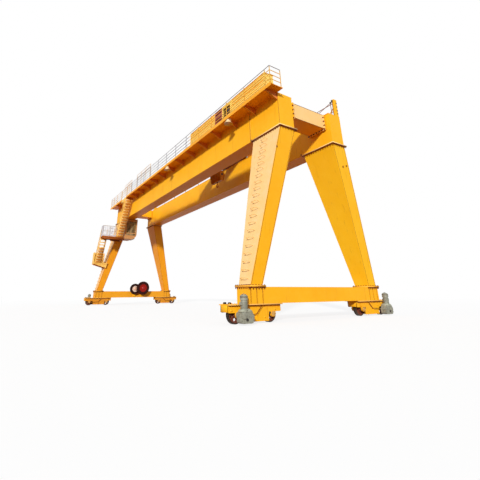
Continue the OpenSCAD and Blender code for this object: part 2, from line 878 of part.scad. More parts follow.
// Height band of one railing bar above a floor
function rail_band(floor_z, level) = [floor_z + level * handrail_h - bar_t, floor_z + level * handrail_h];

landing_reach = 800;
landing_margin = 60;
landing_x = [lower_foot[0] - landing_reach, lower_foot[0] + stringer_d + landing_margin];
landing_t = 100;
landing_edge = lower_y[0] - 2 * landing_margin;
landing_bracket_t = 20;
landing_bracket_tip = 40;
landing_bracket_root = 380;

module lower_landing() {
    top = landing_z;
    under = top - landing_t;
    leg_face = -leg_y(landing_z) - leg_half_w(landing_z);
    root_z = under - landing_bracket_root;
    root_y = -leg_y(root_z) - leg_half_w(root_z) + landing_margin;
    inner = leg_face - landing_margin;
    color(steel_yellow) {
        difference() {
            union() {
                slab(landing_x, [landing_edge, leg_face + landing_margin], [under, top]);
                // two tapered brackets that carry the floor from the leg
                for (x = [landing_x[0] + landing_margin, landing_x[1] - landing_margin - landing_bracket_t])
                    profile_x([x, x + landing_bracket_t])
                        polygon([[landing_edge, under], [leg_face + landing_margin, under], [root_y, root_z],
                            [landing_edge, under - landing_bracket_tip]]);
            }
            translate([-half_span, 0, 0])
                hull() {
                    leg_slice(-1, foot_z, 0);
                    leg_slice(-1, head_z - 1, 0);
                }
        }
        for (level = [0.5, 1]) {
            slab([landing_x[0], landing_x[0] + bar_t], [landing_edge, inner], rail_band(top, level));
            slab([landing_x[0], lower_foot[0] - landing_margin], [landing_edge, landing_edge + bar_t], rail_band(top, level));
        }
        for (p = [[landing_x[0], landing_edge], [landing_x[0], inner - bar_t],
            [lower_foot[0] - landing_margin - bar_t, landing_edge]])
            slab([p[0], p[0] + bar_t], [p[1], p[1] + bar_t], [top, top + handrail_h]);
    }
}

// Cable reels on the far sill beam

reel_y = 770;
small_reel_y = -60;
reel_z = 1650;
small_reel_z = 1560;
reel_face = -(half_span - sill_w / 2) + 120;
reel_axle_r = 32;
small_reel_x = [reel_face, reel_face + reel_w];
large_reel_x = [reel_face + reel_w + 90, reel_face + 2 * reel_w + 90];

// Flat cable reel: two thin cheeks with the wound cable between them, on a hub and axle
module cable_reel(x, y, z, r, axle) {
    mid = (x[0] + x[1]) / 2;
    half = (x[1] - x[0]) / 2;
    translate([mid, y, z])
        rotate([0, 90, 0])
            rotate_extrude()
                polygon([[0, axle[0] - mid], [reel_axle_r, axle[0] - mid], [reel_axle_r, -half - 20], [r * 0.22, -half - 20],
                    [r * 0.22, -half], [r * 0.5, -half], [r, -half], [r, -half + 10], [r * 0.93, -half + 10],
                    [r * 0.93, half - 10], [r, half - 10], [r, half], [r * 0.5, half], [r * 0.22, half],
                    [r * 0.22, half + 20], [reel_axle_r, half + 20], [reel_axle_r, axle[1] - mid], [0, axle[1] - mid]]);
}

module cable_reel_large() {
    color("#8c1414")
    cable_reel(large_reel_x, reel_y, reel_z, reel_r, [large_reel_x[0] - 200, large_reel_x[1] + 30]);
}

module cable_reel_small() {
    color("#30262a")
    cable_reel(small_reel_x, small_reel_y, small_reel_z, small_reel_r, [small_reel_x[0] - 110, small_reel_x[1] + 30]);
}

module reel_stand() {
    plate = [-(half_span - sill_w / 2), -(half_span - sill_w / 2) + 60];
    color(steel_yellow)
    difference() {
        union() {
            // post and bearing plate of the small reel
            slab(plate, [small_reel_y - 110, small_reel_y + 110], [sill_bottom + 60, small_reel_z + 110]);
            // post of the large reel, with a bearing arm that passes beside the small one
            slab(plate, [reel_y - 110, reel_y + 110], [sill_bottom + 60, reel_z + 110]);
            rod_x([plate[0], large_reel_x[0] - 40], reel_y, reel_z, 90);
        }
        rod_x([plate[0] - 1, plate[1] + 1], small_reel_y, small_reel_z, reel_axle_r + fit);
        rod_x([plate[0] - 1, large_reel_x[0]], reel_y, reel_z, reel_axle_r + fit);
    }
}

// Trolley

rail_top = girder_top + rail_h;
trolley_axle_z = rail_top + trolley_wheel_r;
trolley_axle_r = 35;
frame_bottom = trolley_axle_z + 60;
frame_h = 330;
frame_top = frame_bottom + frame_h;
carriage_w = 260;
carriage_drop = 160;
pocket_w = 150;
pocket_gap = 30;
trolley_wheel_x = trolley_l / 2 - 480;
member_w = 360;
member_x = drum_l / 2 + 40;

module trolley_frame() {
    color(steel_yellow)
    translate([trolley_x, 0, 0])
        difference() {
            union() {
                for (side = [-1, 1])
                    slab([-trolley_l / 2, trolley_l / 2],
                        [side * girder_y - carriage_w / 2, side * girder_y + carriage_w / 2],
                        [frame_bottom - carriage_drop, frame_top]);
                for (end = [-1, 1])
                    slab([end * (member_x + member_w / 2) - member_w / 2, end * (member_x + member_w / 2) + member_w / 2],
                        [-girder_y, girder_y], [frame_bottom, frame_top]);
                // beam that anchors the ropes' dead ends
                slab([-member_x - 1, member_x + 1], [-rope_y - 70, -rope_y + 70], [frame_bottom, frame_bottom + 180]);
            }
            for (side = [-1, 1])
                for (end = [-1, 1])
                    translate([end * trolley_wheel_x, side * girder_y, 0]) {
                        slab([-trolley_wheel_r - pocket_gap, trolley_wheel_r + pocket_gap], [-pocket_w / 2, pocket_w / 2],
                            [frame_bottom - carriage_drop - 1, trolley_axle_z + trolley_wheel_r + pocket_gap]);
                        translate([0, -carriage_w, trolley_axle_z])
                            rotate([-90, 0, 0])
                                cylinder(r = trolley_axle_r, h = 2 * carriage_w);
                    }
        }
}

module trolley_wheels() {
    tread = pocket_w - 40;
    color(wheel_red)
    for (side = [-1, 1])
        for (end = [-1, 1])
            translate([trolley_x + end * trolley_wheel_x, side * girder_y, trolley_axle_z])
                rotate([90, 0, 0]) {
                    cylinder(r = trolley_wheel_r - seat, h = tread, center = true);
                    cylinder(r = trolley_axle_r - fit, h = carriage_w, center = true);
                }
}

// Hoist

rope_y = drum_r + rope_r + seat;
drum_flange = 40;
drum_z = frame_top + drum_r + drum_flange + 50;
journal_r = 60;
pedestal_w = 140;
pedestal_half = 230;
rope_places = [-480, -160, 160, 480];

module hoist_drum() {
    color("#7d7f72")
    translate([trolley_x, 0, drum_z])
        rotate([0, 90, 0])
            rotate_extrude()
                drum_outline(drum_l / 2, 30);
}

// Half section of the drum: journals, two flanges and the barrel between them
module drum_outline(half, flange) {
    end = half + pedestal_w + 30;
    polygon([[0, -end], [journal_r, -end], [journal_r, -half], [drum_r + drum_flange, -half],
        [drum_r + drum_flange, -half + flange], [drum_r, -half + flange], [drum_r, half - flange],
        [drum_r + drum_flange, half - flange], [drum_r + drum_flange, half], [journal_r, half],
        [journal_r, end], [0, end]]);
}

hoist_motor_r = 170;
case_r = 240;
case_gap = 60;
case_step = 300;
case_z = frame_top + 350;
case_w = member_w - 60;
motor_y = pedestal_half + case_gap + case_r + case_step - 40;

// Rounded gear case: a large and a small wheel housing on one flat foot
module gear_case_outline() {
    y = pedestal_half + case_gap + case_r;
    translate([y, case_z])
        circle(r = case_r);
    translate([y + case_step, case_z])
        circle(r = case_r - 40);
    translate([y - case_r + 40, frame_top])
        square([2 * case_r + case_step - 120, case_z - frame_top]);
    translate([y - case_r, frame_top])
        square([2 * case_r + case_step - 40, 40]);
    translate([y, case_z])
        square([case_step, case_r - 40]);
}

module hoist_machine() {
    base = member_x + 20;
    color(gear_grey)
    translate([trolley_x, 0, 0]) {
        // bearing pedestals of the drum
        difference() {
            for (end = [-1, 1])
                translate([end * (drum_l / 2 + 5 + pedestal_w / 2), 0, 0])
                    profile_x([-pedestal_w / 2, pedestal_w / 2])
                        polygon([[-pedestal_half, frame_top], [pedestal_half, frame_top], [130, drum_z + 110],
                            [-130, drum_z + 110]]);
            rod_x([-drum_l, drum_l], 0, drum_z, journal_r + fit);
        }
        // gear case, and the motor that reaches from it past the drum to its own foot
        profile_x([base, base + case_w])
            gear_case_outline();
        rod_x([-base - member_w, base], motor_y, case_z, hoist_motor_r);
        profile_x([-base - case_w, -base])
            polygon([[motor_y - 160, frame_top], [motor_y + 160, frame_top], [motor_y + 160, frame_top + 40],
                [motor_y + 110, case_z], [motor_y - 110, case_z], [motor_y - 160, frame_top + 40]]);
    }
}

block_z = frame_bottom - rope_drop;
block_half = 640;
sheave_half = 35;
sheave_rim = 35;

// Rope parts between the drum and the trolley's underside
module rope_leads() {
    color("#3c3a38")
    for (x = rope_places)
        translate([trolley_x + x, rope_y, frame_bottom])
            cylinder(r = rope_r, h = drum_z - frame_bottom);
}

module hoist_ropes() {
    color("#3c3a38")
    for (x = rope_places)
        for (side = [-1, 1])
            translate([trolley_x + x, side * rope_y, block_z])
                cylinder(r = rope_r, h = rope_drop);
}

block_plate = 30;
block_drop = 480;
block_pin_r = 55;
hook_r = 110;
hook_t = 42;

module hook_block() {
    color("#d79b1e")
    translate([trolley_x, 0, block_z]) {
        rotate([0, 90, 0])
            rotate_extrude()
                sheave_outline();
        for (x = [-block_half, block_half - block_plate])
            profile_x([x, x + block_plate])
                polygon([[-150, 190], [150, 190], [230, 0], [150, -block_drop], [-150, -block_drop], [-230, 0]]);
        slab([-block_half, block_half], [-90, 90], [-block_drop, -block_drop + 110]);
        // shank and hook
        translate([0, 0, -block_drop - 150])
            cylinder(r = hook_t, h = 160);
        translate([0, 0, -block_drop - 150 - hook_r])
            rotate([90, 0, 0])
                rotate([0, 0, 90])
                    rotate_extrude(angle = 270)
                        translate([hook_r, 0])
                            circle(r = hook_t);
    }
}

// Half section of the block's pin with one grooved sheave for each rope
module sheave_outline() {
    polygon(concat([[0, -block_half], [block_pin_r, -block_half]],
        [for (x = rope_places) each [[block_pin_r, x - sheave_half], [drum_r + sheave_rim, x - sheave_half],
            [drum_r + sheave_rim, x - rope_r - 12], [drum_r, x - rope_r - 2], [drum_r, x + rope_r + 2],
            [drum_r + sheave_rim, x + rope_r + 12], [drum_r + sheave_rim, x + sheave_half],
            [block_pin_r, x + sheave_half]]],
        [[block_pin_r, block_half], [0, block_half]]));
}

girder(-1);  // girder_left
girder(1);  // girder_right
girder_leg_pads();
cross_beam_stubs();
trolley_rail(-1);  // trolley_rail_left
trolley_rail(1);  // trolley_rail_right
trolley_end_stops();
cross_beam(1);  // cross_beam_near
cross_beam(-1);  // cross_beam_far
leg(1, -1);  // leg_near_left
leg(1, 1);  // leg_near_right
leg(-1, -1);  // leg_far_left
leg(-1, 1);  // leg_far_right
sill_beam(1);  // sill_beam_near
sill_beam(-1);  // sill_beam_far
bogie(1, -1);  // bogie_near_left
bogie(1, 1);  // bogie_near_right
bogie(-1, -1);  // bogie_far_left
bogie(-1, 1);  // bogie_far_right
travel_wheel(1, -1, 1);  // travel_wheel_1
travel_wheel(1, -1, -1);  // travel_wheel_2
travel_wheel(1, 1, -1);  // travel_wheel_3
travel_wheel(1, 1, 1);  // travel_wheel_4
travel_wheel(-1, -1, 1);  // travel_wheel_5
travel_wheel(-1, -1, -1);  // travel_wheel_6
travel_wheel(-1, 1, -1);  // travel_wheel_7
travel_wheel(-1, 1, 1);  // travel_wheel_8
union() {  // travel_drives_near
    travel_drive(1, -1);
    travel_drive(1, 1);
}
union() {  // travel_drives_far
    travel_drive(-1, -1);
    travel_drive(-1, 1);
}
walkway_deck();
walkway_brackets();
walkway_railing();
walkway_guard_bays();
walkway_end_railings();
right_girder_railing();
girder_end_posts();
ribbed_cabinets();
resistor_box();
electrical_house();
floodlights();
leg_rungs();
cab_shell();
cab_glass();
cab_platform();
upper_stair();
lower_stair();
lower_landing();
reel_stand();
cable_reel_large();
cable_reel_small();
trolley_frame();
trolley_wheels();
hoist_drum();
hoist_machine();
rope_leads();
hoist_ropes();
hook_block();
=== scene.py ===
import math

import bpy
import numpy as np
from mathutils import Matrix


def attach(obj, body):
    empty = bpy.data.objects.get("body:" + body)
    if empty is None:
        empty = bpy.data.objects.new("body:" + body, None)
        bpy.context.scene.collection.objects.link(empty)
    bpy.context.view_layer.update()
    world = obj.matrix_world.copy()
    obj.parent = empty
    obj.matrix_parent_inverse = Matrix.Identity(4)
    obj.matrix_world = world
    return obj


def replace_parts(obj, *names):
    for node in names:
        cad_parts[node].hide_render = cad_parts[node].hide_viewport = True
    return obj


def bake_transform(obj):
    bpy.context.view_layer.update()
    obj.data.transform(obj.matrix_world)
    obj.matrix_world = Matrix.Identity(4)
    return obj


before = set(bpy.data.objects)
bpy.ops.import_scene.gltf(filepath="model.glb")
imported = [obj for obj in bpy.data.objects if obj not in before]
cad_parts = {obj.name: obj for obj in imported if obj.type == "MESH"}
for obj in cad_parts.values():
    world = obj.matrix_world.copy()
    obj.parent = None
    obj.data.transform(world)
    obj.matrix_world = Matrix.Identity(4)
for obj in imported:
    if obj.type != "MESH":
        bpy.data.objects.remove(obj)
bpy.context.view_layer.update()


# The studio: the camera stands on the ground ahead of the near leg frame and looks up along
# the girders. It was placed by the edges of the girders, legs and sill beam.
def stand(thing, columns, place):
    """Puts an object in the scene at a place, with its own X, Y and Z along three columns."""
    rows = [[*(column[i] for column in columns), place[i]] for i in range(3)]
    thing.matrix_world = Matrix(rows + [[0, 0, 0, 1]])
    bpy.context.scene.collection.objects.link(thing)


yaw, pitch, roll = np.radians([32.22, 20.89, 0.40])
ahead = np.array([-math.cos(yaw) * math.cos(pitch), math.sin(yaw) * math.cos(pitch), math.sin(pitch)])
level = np.array([math.sin(yaw), math.cos(yaw), 0.0])
down = np.cross(ahead, level)
across = math.cos(roll) * level + math.sin(roll) * down
upward = math.sin(roll) * level - math.cos(roll) * down
camera = bpy.data.objects.new("camera", bpy.data.cameras.new("camera"))
stand(camera, (across, upward, -ahead), (23.93, -12.21, 1.116))
focal_pixels, picture_pixels, sensor_width = 319.4, 480, 36.0
camera.data.sensor_width = sensor_width
camera.data.lens = focal_pixels / picture_pixels * sensor_width
camera.data.shift_x = 0.0471
camera.data.shift_y = -0.1442
camera.data.clip_end = 900.0
bpy.context.scene.camera = camera
bpy.context.scene.view_settings.view_transform = "Standard"


class Value:
    """An output socket in a material, on which Python's operators add Math nodes."""

    def __init__(self, finish, socket):
        self.finish, self.socket = finish, socket

    def math(self, operation, first, second):
        return self.finish.node("ShaderNodeMath", {"operation": operation}, {0: first, 1: second})

    def __add__(self, other):
        return self.math("ADD", self, other)

    def __sub__(self, other):
        return self.math("SUBTRACT", self, other)

    def __rsub__(self, other):
        return self.math("SUBTRACT", other, self)

    def __mul__(self, other):
        return self.math("MULTIPLY", self, other)

    def __truediv__(self, other):
        return self.math("DIVIDE", self, other)

    def __pow__(self, other):
        return self.math("POWER", self, other)

    def __abs__(self):
        return self.math("ABSOLUTE", self, 0.0)

    def __mod__(self, other):
        return self.math("FLOORED_MODULO", self, other)

    def __or__(self, other):
        return self.math("MAXIMUM", self, other)

    __radd__, __rmul__ = __add__, __mul__


class Finish:
    """The nodes of a material or a world. They all come from one method, node(type, settings, sockets)."""

    def __init__(self, owner):
        owner.use_nodes = True
        self.owner, self.tree = owner, owner.node_tree
        self.surface = self.tree.nodes.get("Principled BSDF")

    def plug(self, socket, given):
        """Links a value to a socket, or gives the socket a number or colour of its own."""
        if isinstance(given, Value):
            self.tree.links.new(given.socket, socket)
        else:
            socket.default_value = given

    def node(self, kind, settings, sockets, out=0):
        made = self.tree.nodes.new(kind)
        for key, setting in settings.items():
            if key == "stops":
                for stop, (place, colour) in zip(made.color_ramp.elements, setting):
                    stop.position, stop.color = place, colour
            else:
                setattr(made, key, setting)
        for key, given in sockets.items():
            self.plug(made.inputs[key], given)
        return Value(self, made.outputs[out])

    def feed(self, **sockets):
        """Sets or links the surface shader's own sockets, written with _ for a space."""
        for key, given in sockets.items():
            self.plug(self.surface.inputs[key.replace("_", " ")], given)

    def show(self, shader, output):
        """Makes a shader the one that the material or the world shows."""
        self.plug(self.tree.nodes[output].inputs["Surface"], shader)

    def ray(self, kind):
        return self.node("ShaderNodeLightPath", {}, {}, kind)

    def place(self):
        return self.node("ShaderNodeTexCoord", {}, {}, "Object")

    def split(self, vector):
        return [self.node("ShaderNodeSeparateXYZ", {}, {0: vector}, i) for i in range(3)]

    def stretch(self, vector, factors):
        return self.node("ShaderNodeVectorMath", {"operation": "MULTIPLY"}, {0: vector, 1: factors})

    def noise(self, vector, scale, detail=3.0, rough=0.55):
        return self.node("ShaderNodeTexNoise", {},
                         {"Vector": vector, "Scale": scale, "Detail": detail, "Roughness": rough})

    def step(self, value, low, high):
        """0 below low, 1 above high and a smooth rise between them; low above high turns it round."""
        return self.node("ShaderNodeMapRange", {"interpolation_type": "SMOOTHSTEP"},
                         {"Value": value, "From Min": low, "From Max": high})

    def mix(self, share, first, second):
        return self.node("ShaderNodeMix", {"data_type": "RGBA"}, {0: share, 6: first, 7: second}, 2)

    def bump(self, height, strength, distance):
        return self.node("ShaderNodeBump", {}, {"Height": height, "Strength": strength, "Distance": distance})


def shade(red, green, blue):
    """A written screen colour, 0 to 255, as the renderer's linear colour."""
    return tuple(((c / 255 + 0.055) / 1.055) ** 2.4 if c > 10 else c / 3295
                 for c in (red, green, blue)) + (1.0,)


# The floor is a pale slab that keeps the crane's shadow near it and fades to white far away.
# Rays that bounce between the floor and the crane meet dull ground, as the undersides are brown.
floor_finish = Finish(bpy.data.materials.new("pale_floor"))
ray = floor_finish.ray
seen = ray("Is Camera Ray") | ray("Is Glossy Ray") | ray("Is Transmission Ray")
far = floor_finish.node("ShaderNodeVectorMath", {"operation": "LENGTH"}, {0: floor_finish.place()}, "Value")
tint = floor_finish.mix(seen, shade(138, 98, 52), shade(252, 252, 252))
ground = floor_finish.node("ShaderNodeBsdfDiffuse", {}, {"Color": tint})
glow = floor_finish.node("ShaderNodeEmission", {}, {"Color": (1.0, 1.0, 1.0, 1.0), "Strength": seen})
fade_start, fade_end = 16.0, 60.0
fade = floor_finish.step(far, fade_start, fade_end) * 0.2 + 0.8
floor_finish.show(floor_finish.node("ShaderNodeMixShader", {}, {0: fade * seen, 1: ground, 2: glow}),
                  "Material Output")
floor_mesh = bpy.data.meshes.new("floor")
floor_corners = [(400 * a, 400 * b, -0.002) for a, b in ((-1, -1), (1, -1), (1, 1), (-1, 1))]
floor_mesh.from_pydata(floor_corners, [], [(0, 1, 2, 3)])
floor_mesh.materials.append(floor_finish.owner)
floor = bpy.data.objects.new("floor", floor_mesh)
bpy.context.scene.collection.objects.link(floor)

# the sky is plain white to the camera and a dimmer blue-white to everything that it lights
studio = Finish(bpy.data.worlds.new("studio"))
bpy.context.scene.world = studio.owner
plain = studio.node("ShaderNodeBackground", {}, {"Color": (0.93, 0.96, 1.0, 1.0), "Strength": 0.6})
white = studio.node("ShaderNodeBackground", {}, {"Color": (1.0, 1.0, 1.0, 1.0)})
direct = studio.ray("Is Camera Ray") | studio.ray("Is Transmission Ray")
studio.show(studio.node("ShaderNodeMixShader", {}, {0: direct, 1: plain, 2: white}), "World Output")

# the low sun stands behind the camera, a little to its left
key = bpy.data.objects.new("key_light", bpy.data.lights.new("key_light", "SUN"))
key.data.energy = 3.45
key.data.angle = math.radians(4)
key.data.color = (1.0, 0.97, 0.92)
key_from = np.array([0.66, -0.66, 0.34])
key_from = key_from / np.linalg.norm(key_from)
key_side = np.cross([0.0, 0.0, 1.0], key_from)
key_side = key_side / np.linalg.norm(key_side)
stand(key, (key_side, np.cross(key_from, key_side), key_from), key_from * 40)


# Travel wheels: eight forged wheels with two flanges each. Their faces are painted red-brown, the
# treads and flanges are dark with grease; the CAD solids stay and take this finish.
def part_coat(name, colour, rubbed, bright, roughness=0.5):
    """Paint with broad tone changes and fine specks. rubbed is called with the finish and the place
    and gives a mask; where it is 1 the coat is bright: worn steel, or a second paint."""
    coat = Finish(bpy.data.materials.new(name))
    where = coat.place()
    tone = coat.noise(where, 3.0, 5.0)
    grime = coat.step(coat.noise(where, 9.0, 6.0, 0.7), 0.45, 0.72)
    bare = rubbed(coat, where)
    painted = coat.mix(tone, [c * 0.72 for c in colour[:3]] + [1.0],
                       [min(1.0, c * 1.22) for c in colour[:3]] + [1.0])
    dirty = coat.mix(grime * 0.55, painted, shade(58, 44, 36))
    coat.feed(Base_Color=coat.mix(bare, dirty, bright), Metallic=bare * 0.85,
              Roughness=grime * 0.25 + roughness - bare * 0.22,
              Normal=coat.bump(coat.noise(where, 60.0, 4.0), 0.25, 0.004))
    return coat


def dress(node, coat):
    """Gives a CAD node's object a finish in its own material slot."""
    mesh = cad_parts[node].data
    mesh.materials.clear()
    mesh.materials.append(coat.owner)


half_span, bogie_y, wheel_half_base, axle_height = 13.0, 3.77, 0.85, 0.325


def tread(coat, where):
    """Worn ring where the distance from the wheel's own axle is near the tread's radius."""
    x, y, z = coat.split(where)
    along = abs(abs(abs(y) - bogie_y) - wheel_half_base)
    radius = (along ** 2.0 + (z - axle_height) ** 2.0) ** 0.5
    return coat.step(radius, 0.272, 0.286)


wheel_coat = part_coat("wheel_red", shade(116, 58, 40), tread, shade(74, 60, 50))
for i in range(1, 9):
    dress("travel_wheel_%d" % i, wheel_coat)


# Bogies: each wheel pair sits in a welded box of yellow plates with an arm over each wheel.
# Round bearing caps hold the axles, a bent stiffener and bolts cross the deep middle plate.
def build(name, parts, coat, body="gantry", smooth=0):
    """One object from parts, each (points, face arrays); a face array's rows number one face's corners.
    The arrays are joined with shifted numbers. smooth is the angle in degrees above which edges stay sharp."""
    points, corners, sizes, shift = [], [], [], 0
    for spots, face_sets in parts:
        points.append(spots)
        for faces in face_sets:
            corners.append((faces + shift).ravel())
            sizes.append(np.full(len(faces), faces.shape[1]))
        shift += len(spots)
    points, corners, sizes = np.concatenate(points), np.concatenate(corners), np.concatenate(sizes)
    mesh = bpy.data.meshes.new(name)
    mesh.vertices.add(len(points))
    mesh.vertices.foreach_set("co", points.astype(np.float32).ravel())
    mesh.loops.add(len(corners))
    mesh.loops.foreach_set("vertex_index", corners.astype(np.int32))
    mesh.polygons.add(len(sizes))
    mesh.polygons.foreach_set("loop_start", (np.cumsum(sizes) - sizes).astype(np.int32))
    mesh.update(calc_edges=True)
    mesh.validate()
    if smooth:
        mesh.polygons.foreach_set("use_smooth", np.ones(len(mesh.polygons), bool))
        mesh.set_sharp_from_angle(angle=math.radians(smooth))
    mesh.materials.append(coat.owner)
    piece = bpy.data.objects.new(name, mesh)
    bpy.context.scene.collection.objects.link(piece)
    if body:
        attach(piece, body)
    return piece


def skin(rows, loop=False):
    """Closed tube of quads over a grid of points, rows[i][j], that wraps in j. The first and last rows
    are closed by one flat face each, or joined to each other where loop is true."""
    m, n = rows.shape[:2]
    i, j = np.meshgrid(np.arange(m if loop else m - 1), np.arange(n), indexing="ij")
    k, l = (i + 1) % m, (j + 1) % n
    quads = np.stack([i * n + j, k * n + j, k * n + l, i * n + l], -1).reshape(-1, 4)
    caps = [] if loop else [np.arange(n)[None], np.arange(m * n - 1, (m - 1) * n - 1, -1)[None]]
    return rows.reshape(-1, 3), [quads] + caps


def sweep(outline, path, top=(0, 0, 1), loop=False):
    """Carries an outline of points (a, b), anticlockwise, along a path: each point is the path's point
    plus a times the side direction plus b times the direction nearest to top, both square to the path."""
    path, outline = np.array(path, float), np.array(outline, float)
    steps = np.diff(np.vstack([path, path[:1]]) if loop else path, axis=0)
    steps = steps / np.linalg.norm(steps, axis=1)[:, None]
    before = np.vstack([steps[-1:] if loop else steps[:1], steps[:-1] if loop else steps])
    after = steps if loop else np.vstack([steps, steps[-1:]])
    ahead = before + after
    ahead = ahead / np.linalg.norm(ahead, axis=1)[:, None]
    grow = 1 / np.maximum(0.35, (ahead * after).sum(1))
    side = np.cross(ahead, np.array(top, float))
    side = side / np.linalg.norm(side, axis=1)[:, None]
    high = np.cross(side, ahead)
    bent = np.linalg.norm(np.cross(before, after), axis=1) > 1e-6
    grow = np.where(bent, grow, 1.0)
    turn = np.cross(before, after)
    length = np.maximum(np.linalg.norm(turn, axis=1), 1e-9)[:, None]
    bend = np.cross(turn / length, ahead)
    flat = outline[None, :, 0, None] * side[:, None] + outline[None, :, 1, None] * high[:, None]
    wide = (flat * bend[:, None]).sum(-1, keepdims=True) * bend[:, None] * (grow - 1)[:, None, None]
    return skin(path[:, None] + flat + wide, loop)


def disc(radius, count=8):
    """Regular outline of a round bar."""
    turn = np.arange(count) * 2 * math.pi / count
    return np.stack([radius * np.cos(turn), radius * np.sin(turn)], -1)


def strip(width, height, low=0.0):
    """Rectangular outline, width across and height up from low."""
    return [(-width / 2, low), (width / 2, low), (width / 2, low + height), (-width / 2, low + height)]


def lathe(profile, axis, count=24, loop=False):
    """Turned part: each profile point (radius, height) becomes a ring round the local Z axis at that height.
    axis gives the three columns that carry local X, Y and Z into the crane's directions."""
    turn = np.arange(count) * 2 * math.pi / count
    profile = np.array(profile, float)[::-1]
    local = np.stack([profile[:, :1] * np.cos(turn), profile[:, :1] * np.sin(turn),
                      np.repeat(profile[:, 1:], count, 1)], -1)
    return skin(local @ np.array(axis, float), loop)


def block(low, high, edge=0.006):
    """Box with chamfered edges between two opposite corners, given in any order: four rings of an
    eight-cornered outline, the end rings drawn in by edge."""
    low, high = np.sort(np.array([low, high], float), axis=0)
    corner = np.array([(-1, -1, 1, 0), (1, -1, -1, 0), (1, -1, 0, 1), (1, 1, 0, -1),
                       (1, 1, -1, 0), (-1, 1, 1, 0),
                       (-1, 1, 0, -1), (-1, -1, 0, 1)], float)
    half, middle = (high - low) / 2, (high + low) / 2
    rows = []
    for height, inset in ((-half[2], edge), (edge - half[2], 0.0), (half[2] - edge, 0.0), (half[2], edge)):
        ring = corner[:, :2] * (half[:2] - inset) + corner[:, 2:] * edge
        rows.append(np.column_stack([ring, np.full(8, height)]) + middle)
    return skin(np.array(rows)[::-1])


def upright_box(middle, half, low, high, edge):
    """A block from height low to high that reaches half to each side of its middle."""
    (x, y), (a, b) = middle, half
    return block((x - a, y - b, low), (x + a, y + b, high), edge)


def copies(part, places):
    """The same part moved to each of many places, as one array sum."""
    points, face_sets = part
    places = np.array(places, float).reshape(-1, 3)
    shift = np.arange(len(places)) * len(points)
    return ((places[:, None] + points[None]).reshape(-1, 3),
            [(faces[None] + shift[:, None, None]).reshape(-1, faces.shape[1]) for faces in face_sets])


along_x = [(0, 1, 0), (0, 0, 1), (1, 0, 0)]
along_y = [(0, 0, 1), (1, 0, 0), (0, 1, 0)]
along_z = [(1, 0, 0), (0, 1, 0), (0, 0, 1)]


def facing(axis, sign):
    """An axis frame whose third direction is turned by sign, still right-handed."""
    x, y, z = (np.array(v, float) for v in axis)
    return [x, y, z] if sign > 0 else [y, x, -z]


def hex_bolt(axis, sign=1, across=0.036):
    """Bolt head on its washer: a round disc, then a six-sided head with a chamfered top."""
    washer = lathe([(across * 0.82, 0), (across * 0.82, 0.005)], facing(axis, sign), 10)
    head = lathe([(across * 0.56, 0.005), (across * 0.58, 0.024), (across * 0.46, 0.03)], facing(axis, sign),
                 6)
    return (np.concatenate([washer[0], head[0]]),
            [*washer[1], *[faces + len(washer[0]) for faces in head[1]]])


def bolts(axis, sign, across, places):
    """The same bolt head at each of many places."""
    return copies(hex_bolt(axis, sign, across), places)


def turned(axis, sign, place, profile, count=24, loop=False):
    """A turned part at one place, its local Z along the axis and turned round by sign."""
    return copies(lathe(profile, facing(axis, sign), count, loop), [place])


def ring_places(x, y, z, radius, count):
    """Evenly spaced places on a circle square to X, (y + r cos t, z + r sin t)."""
    turn = np.arange(count) * 2 * math.pi / count
    return np.column_stack([np.full(count, x), y + radius * np.cos(turn), z + radius * np.sin(turn)])


def flecks(scale, detail, low, high):
    """A mask for part_coat that is 1 where fine noise is high."""
    return lambda coat, where: coat.step(coat.noise(where, scale, detail), low, high)


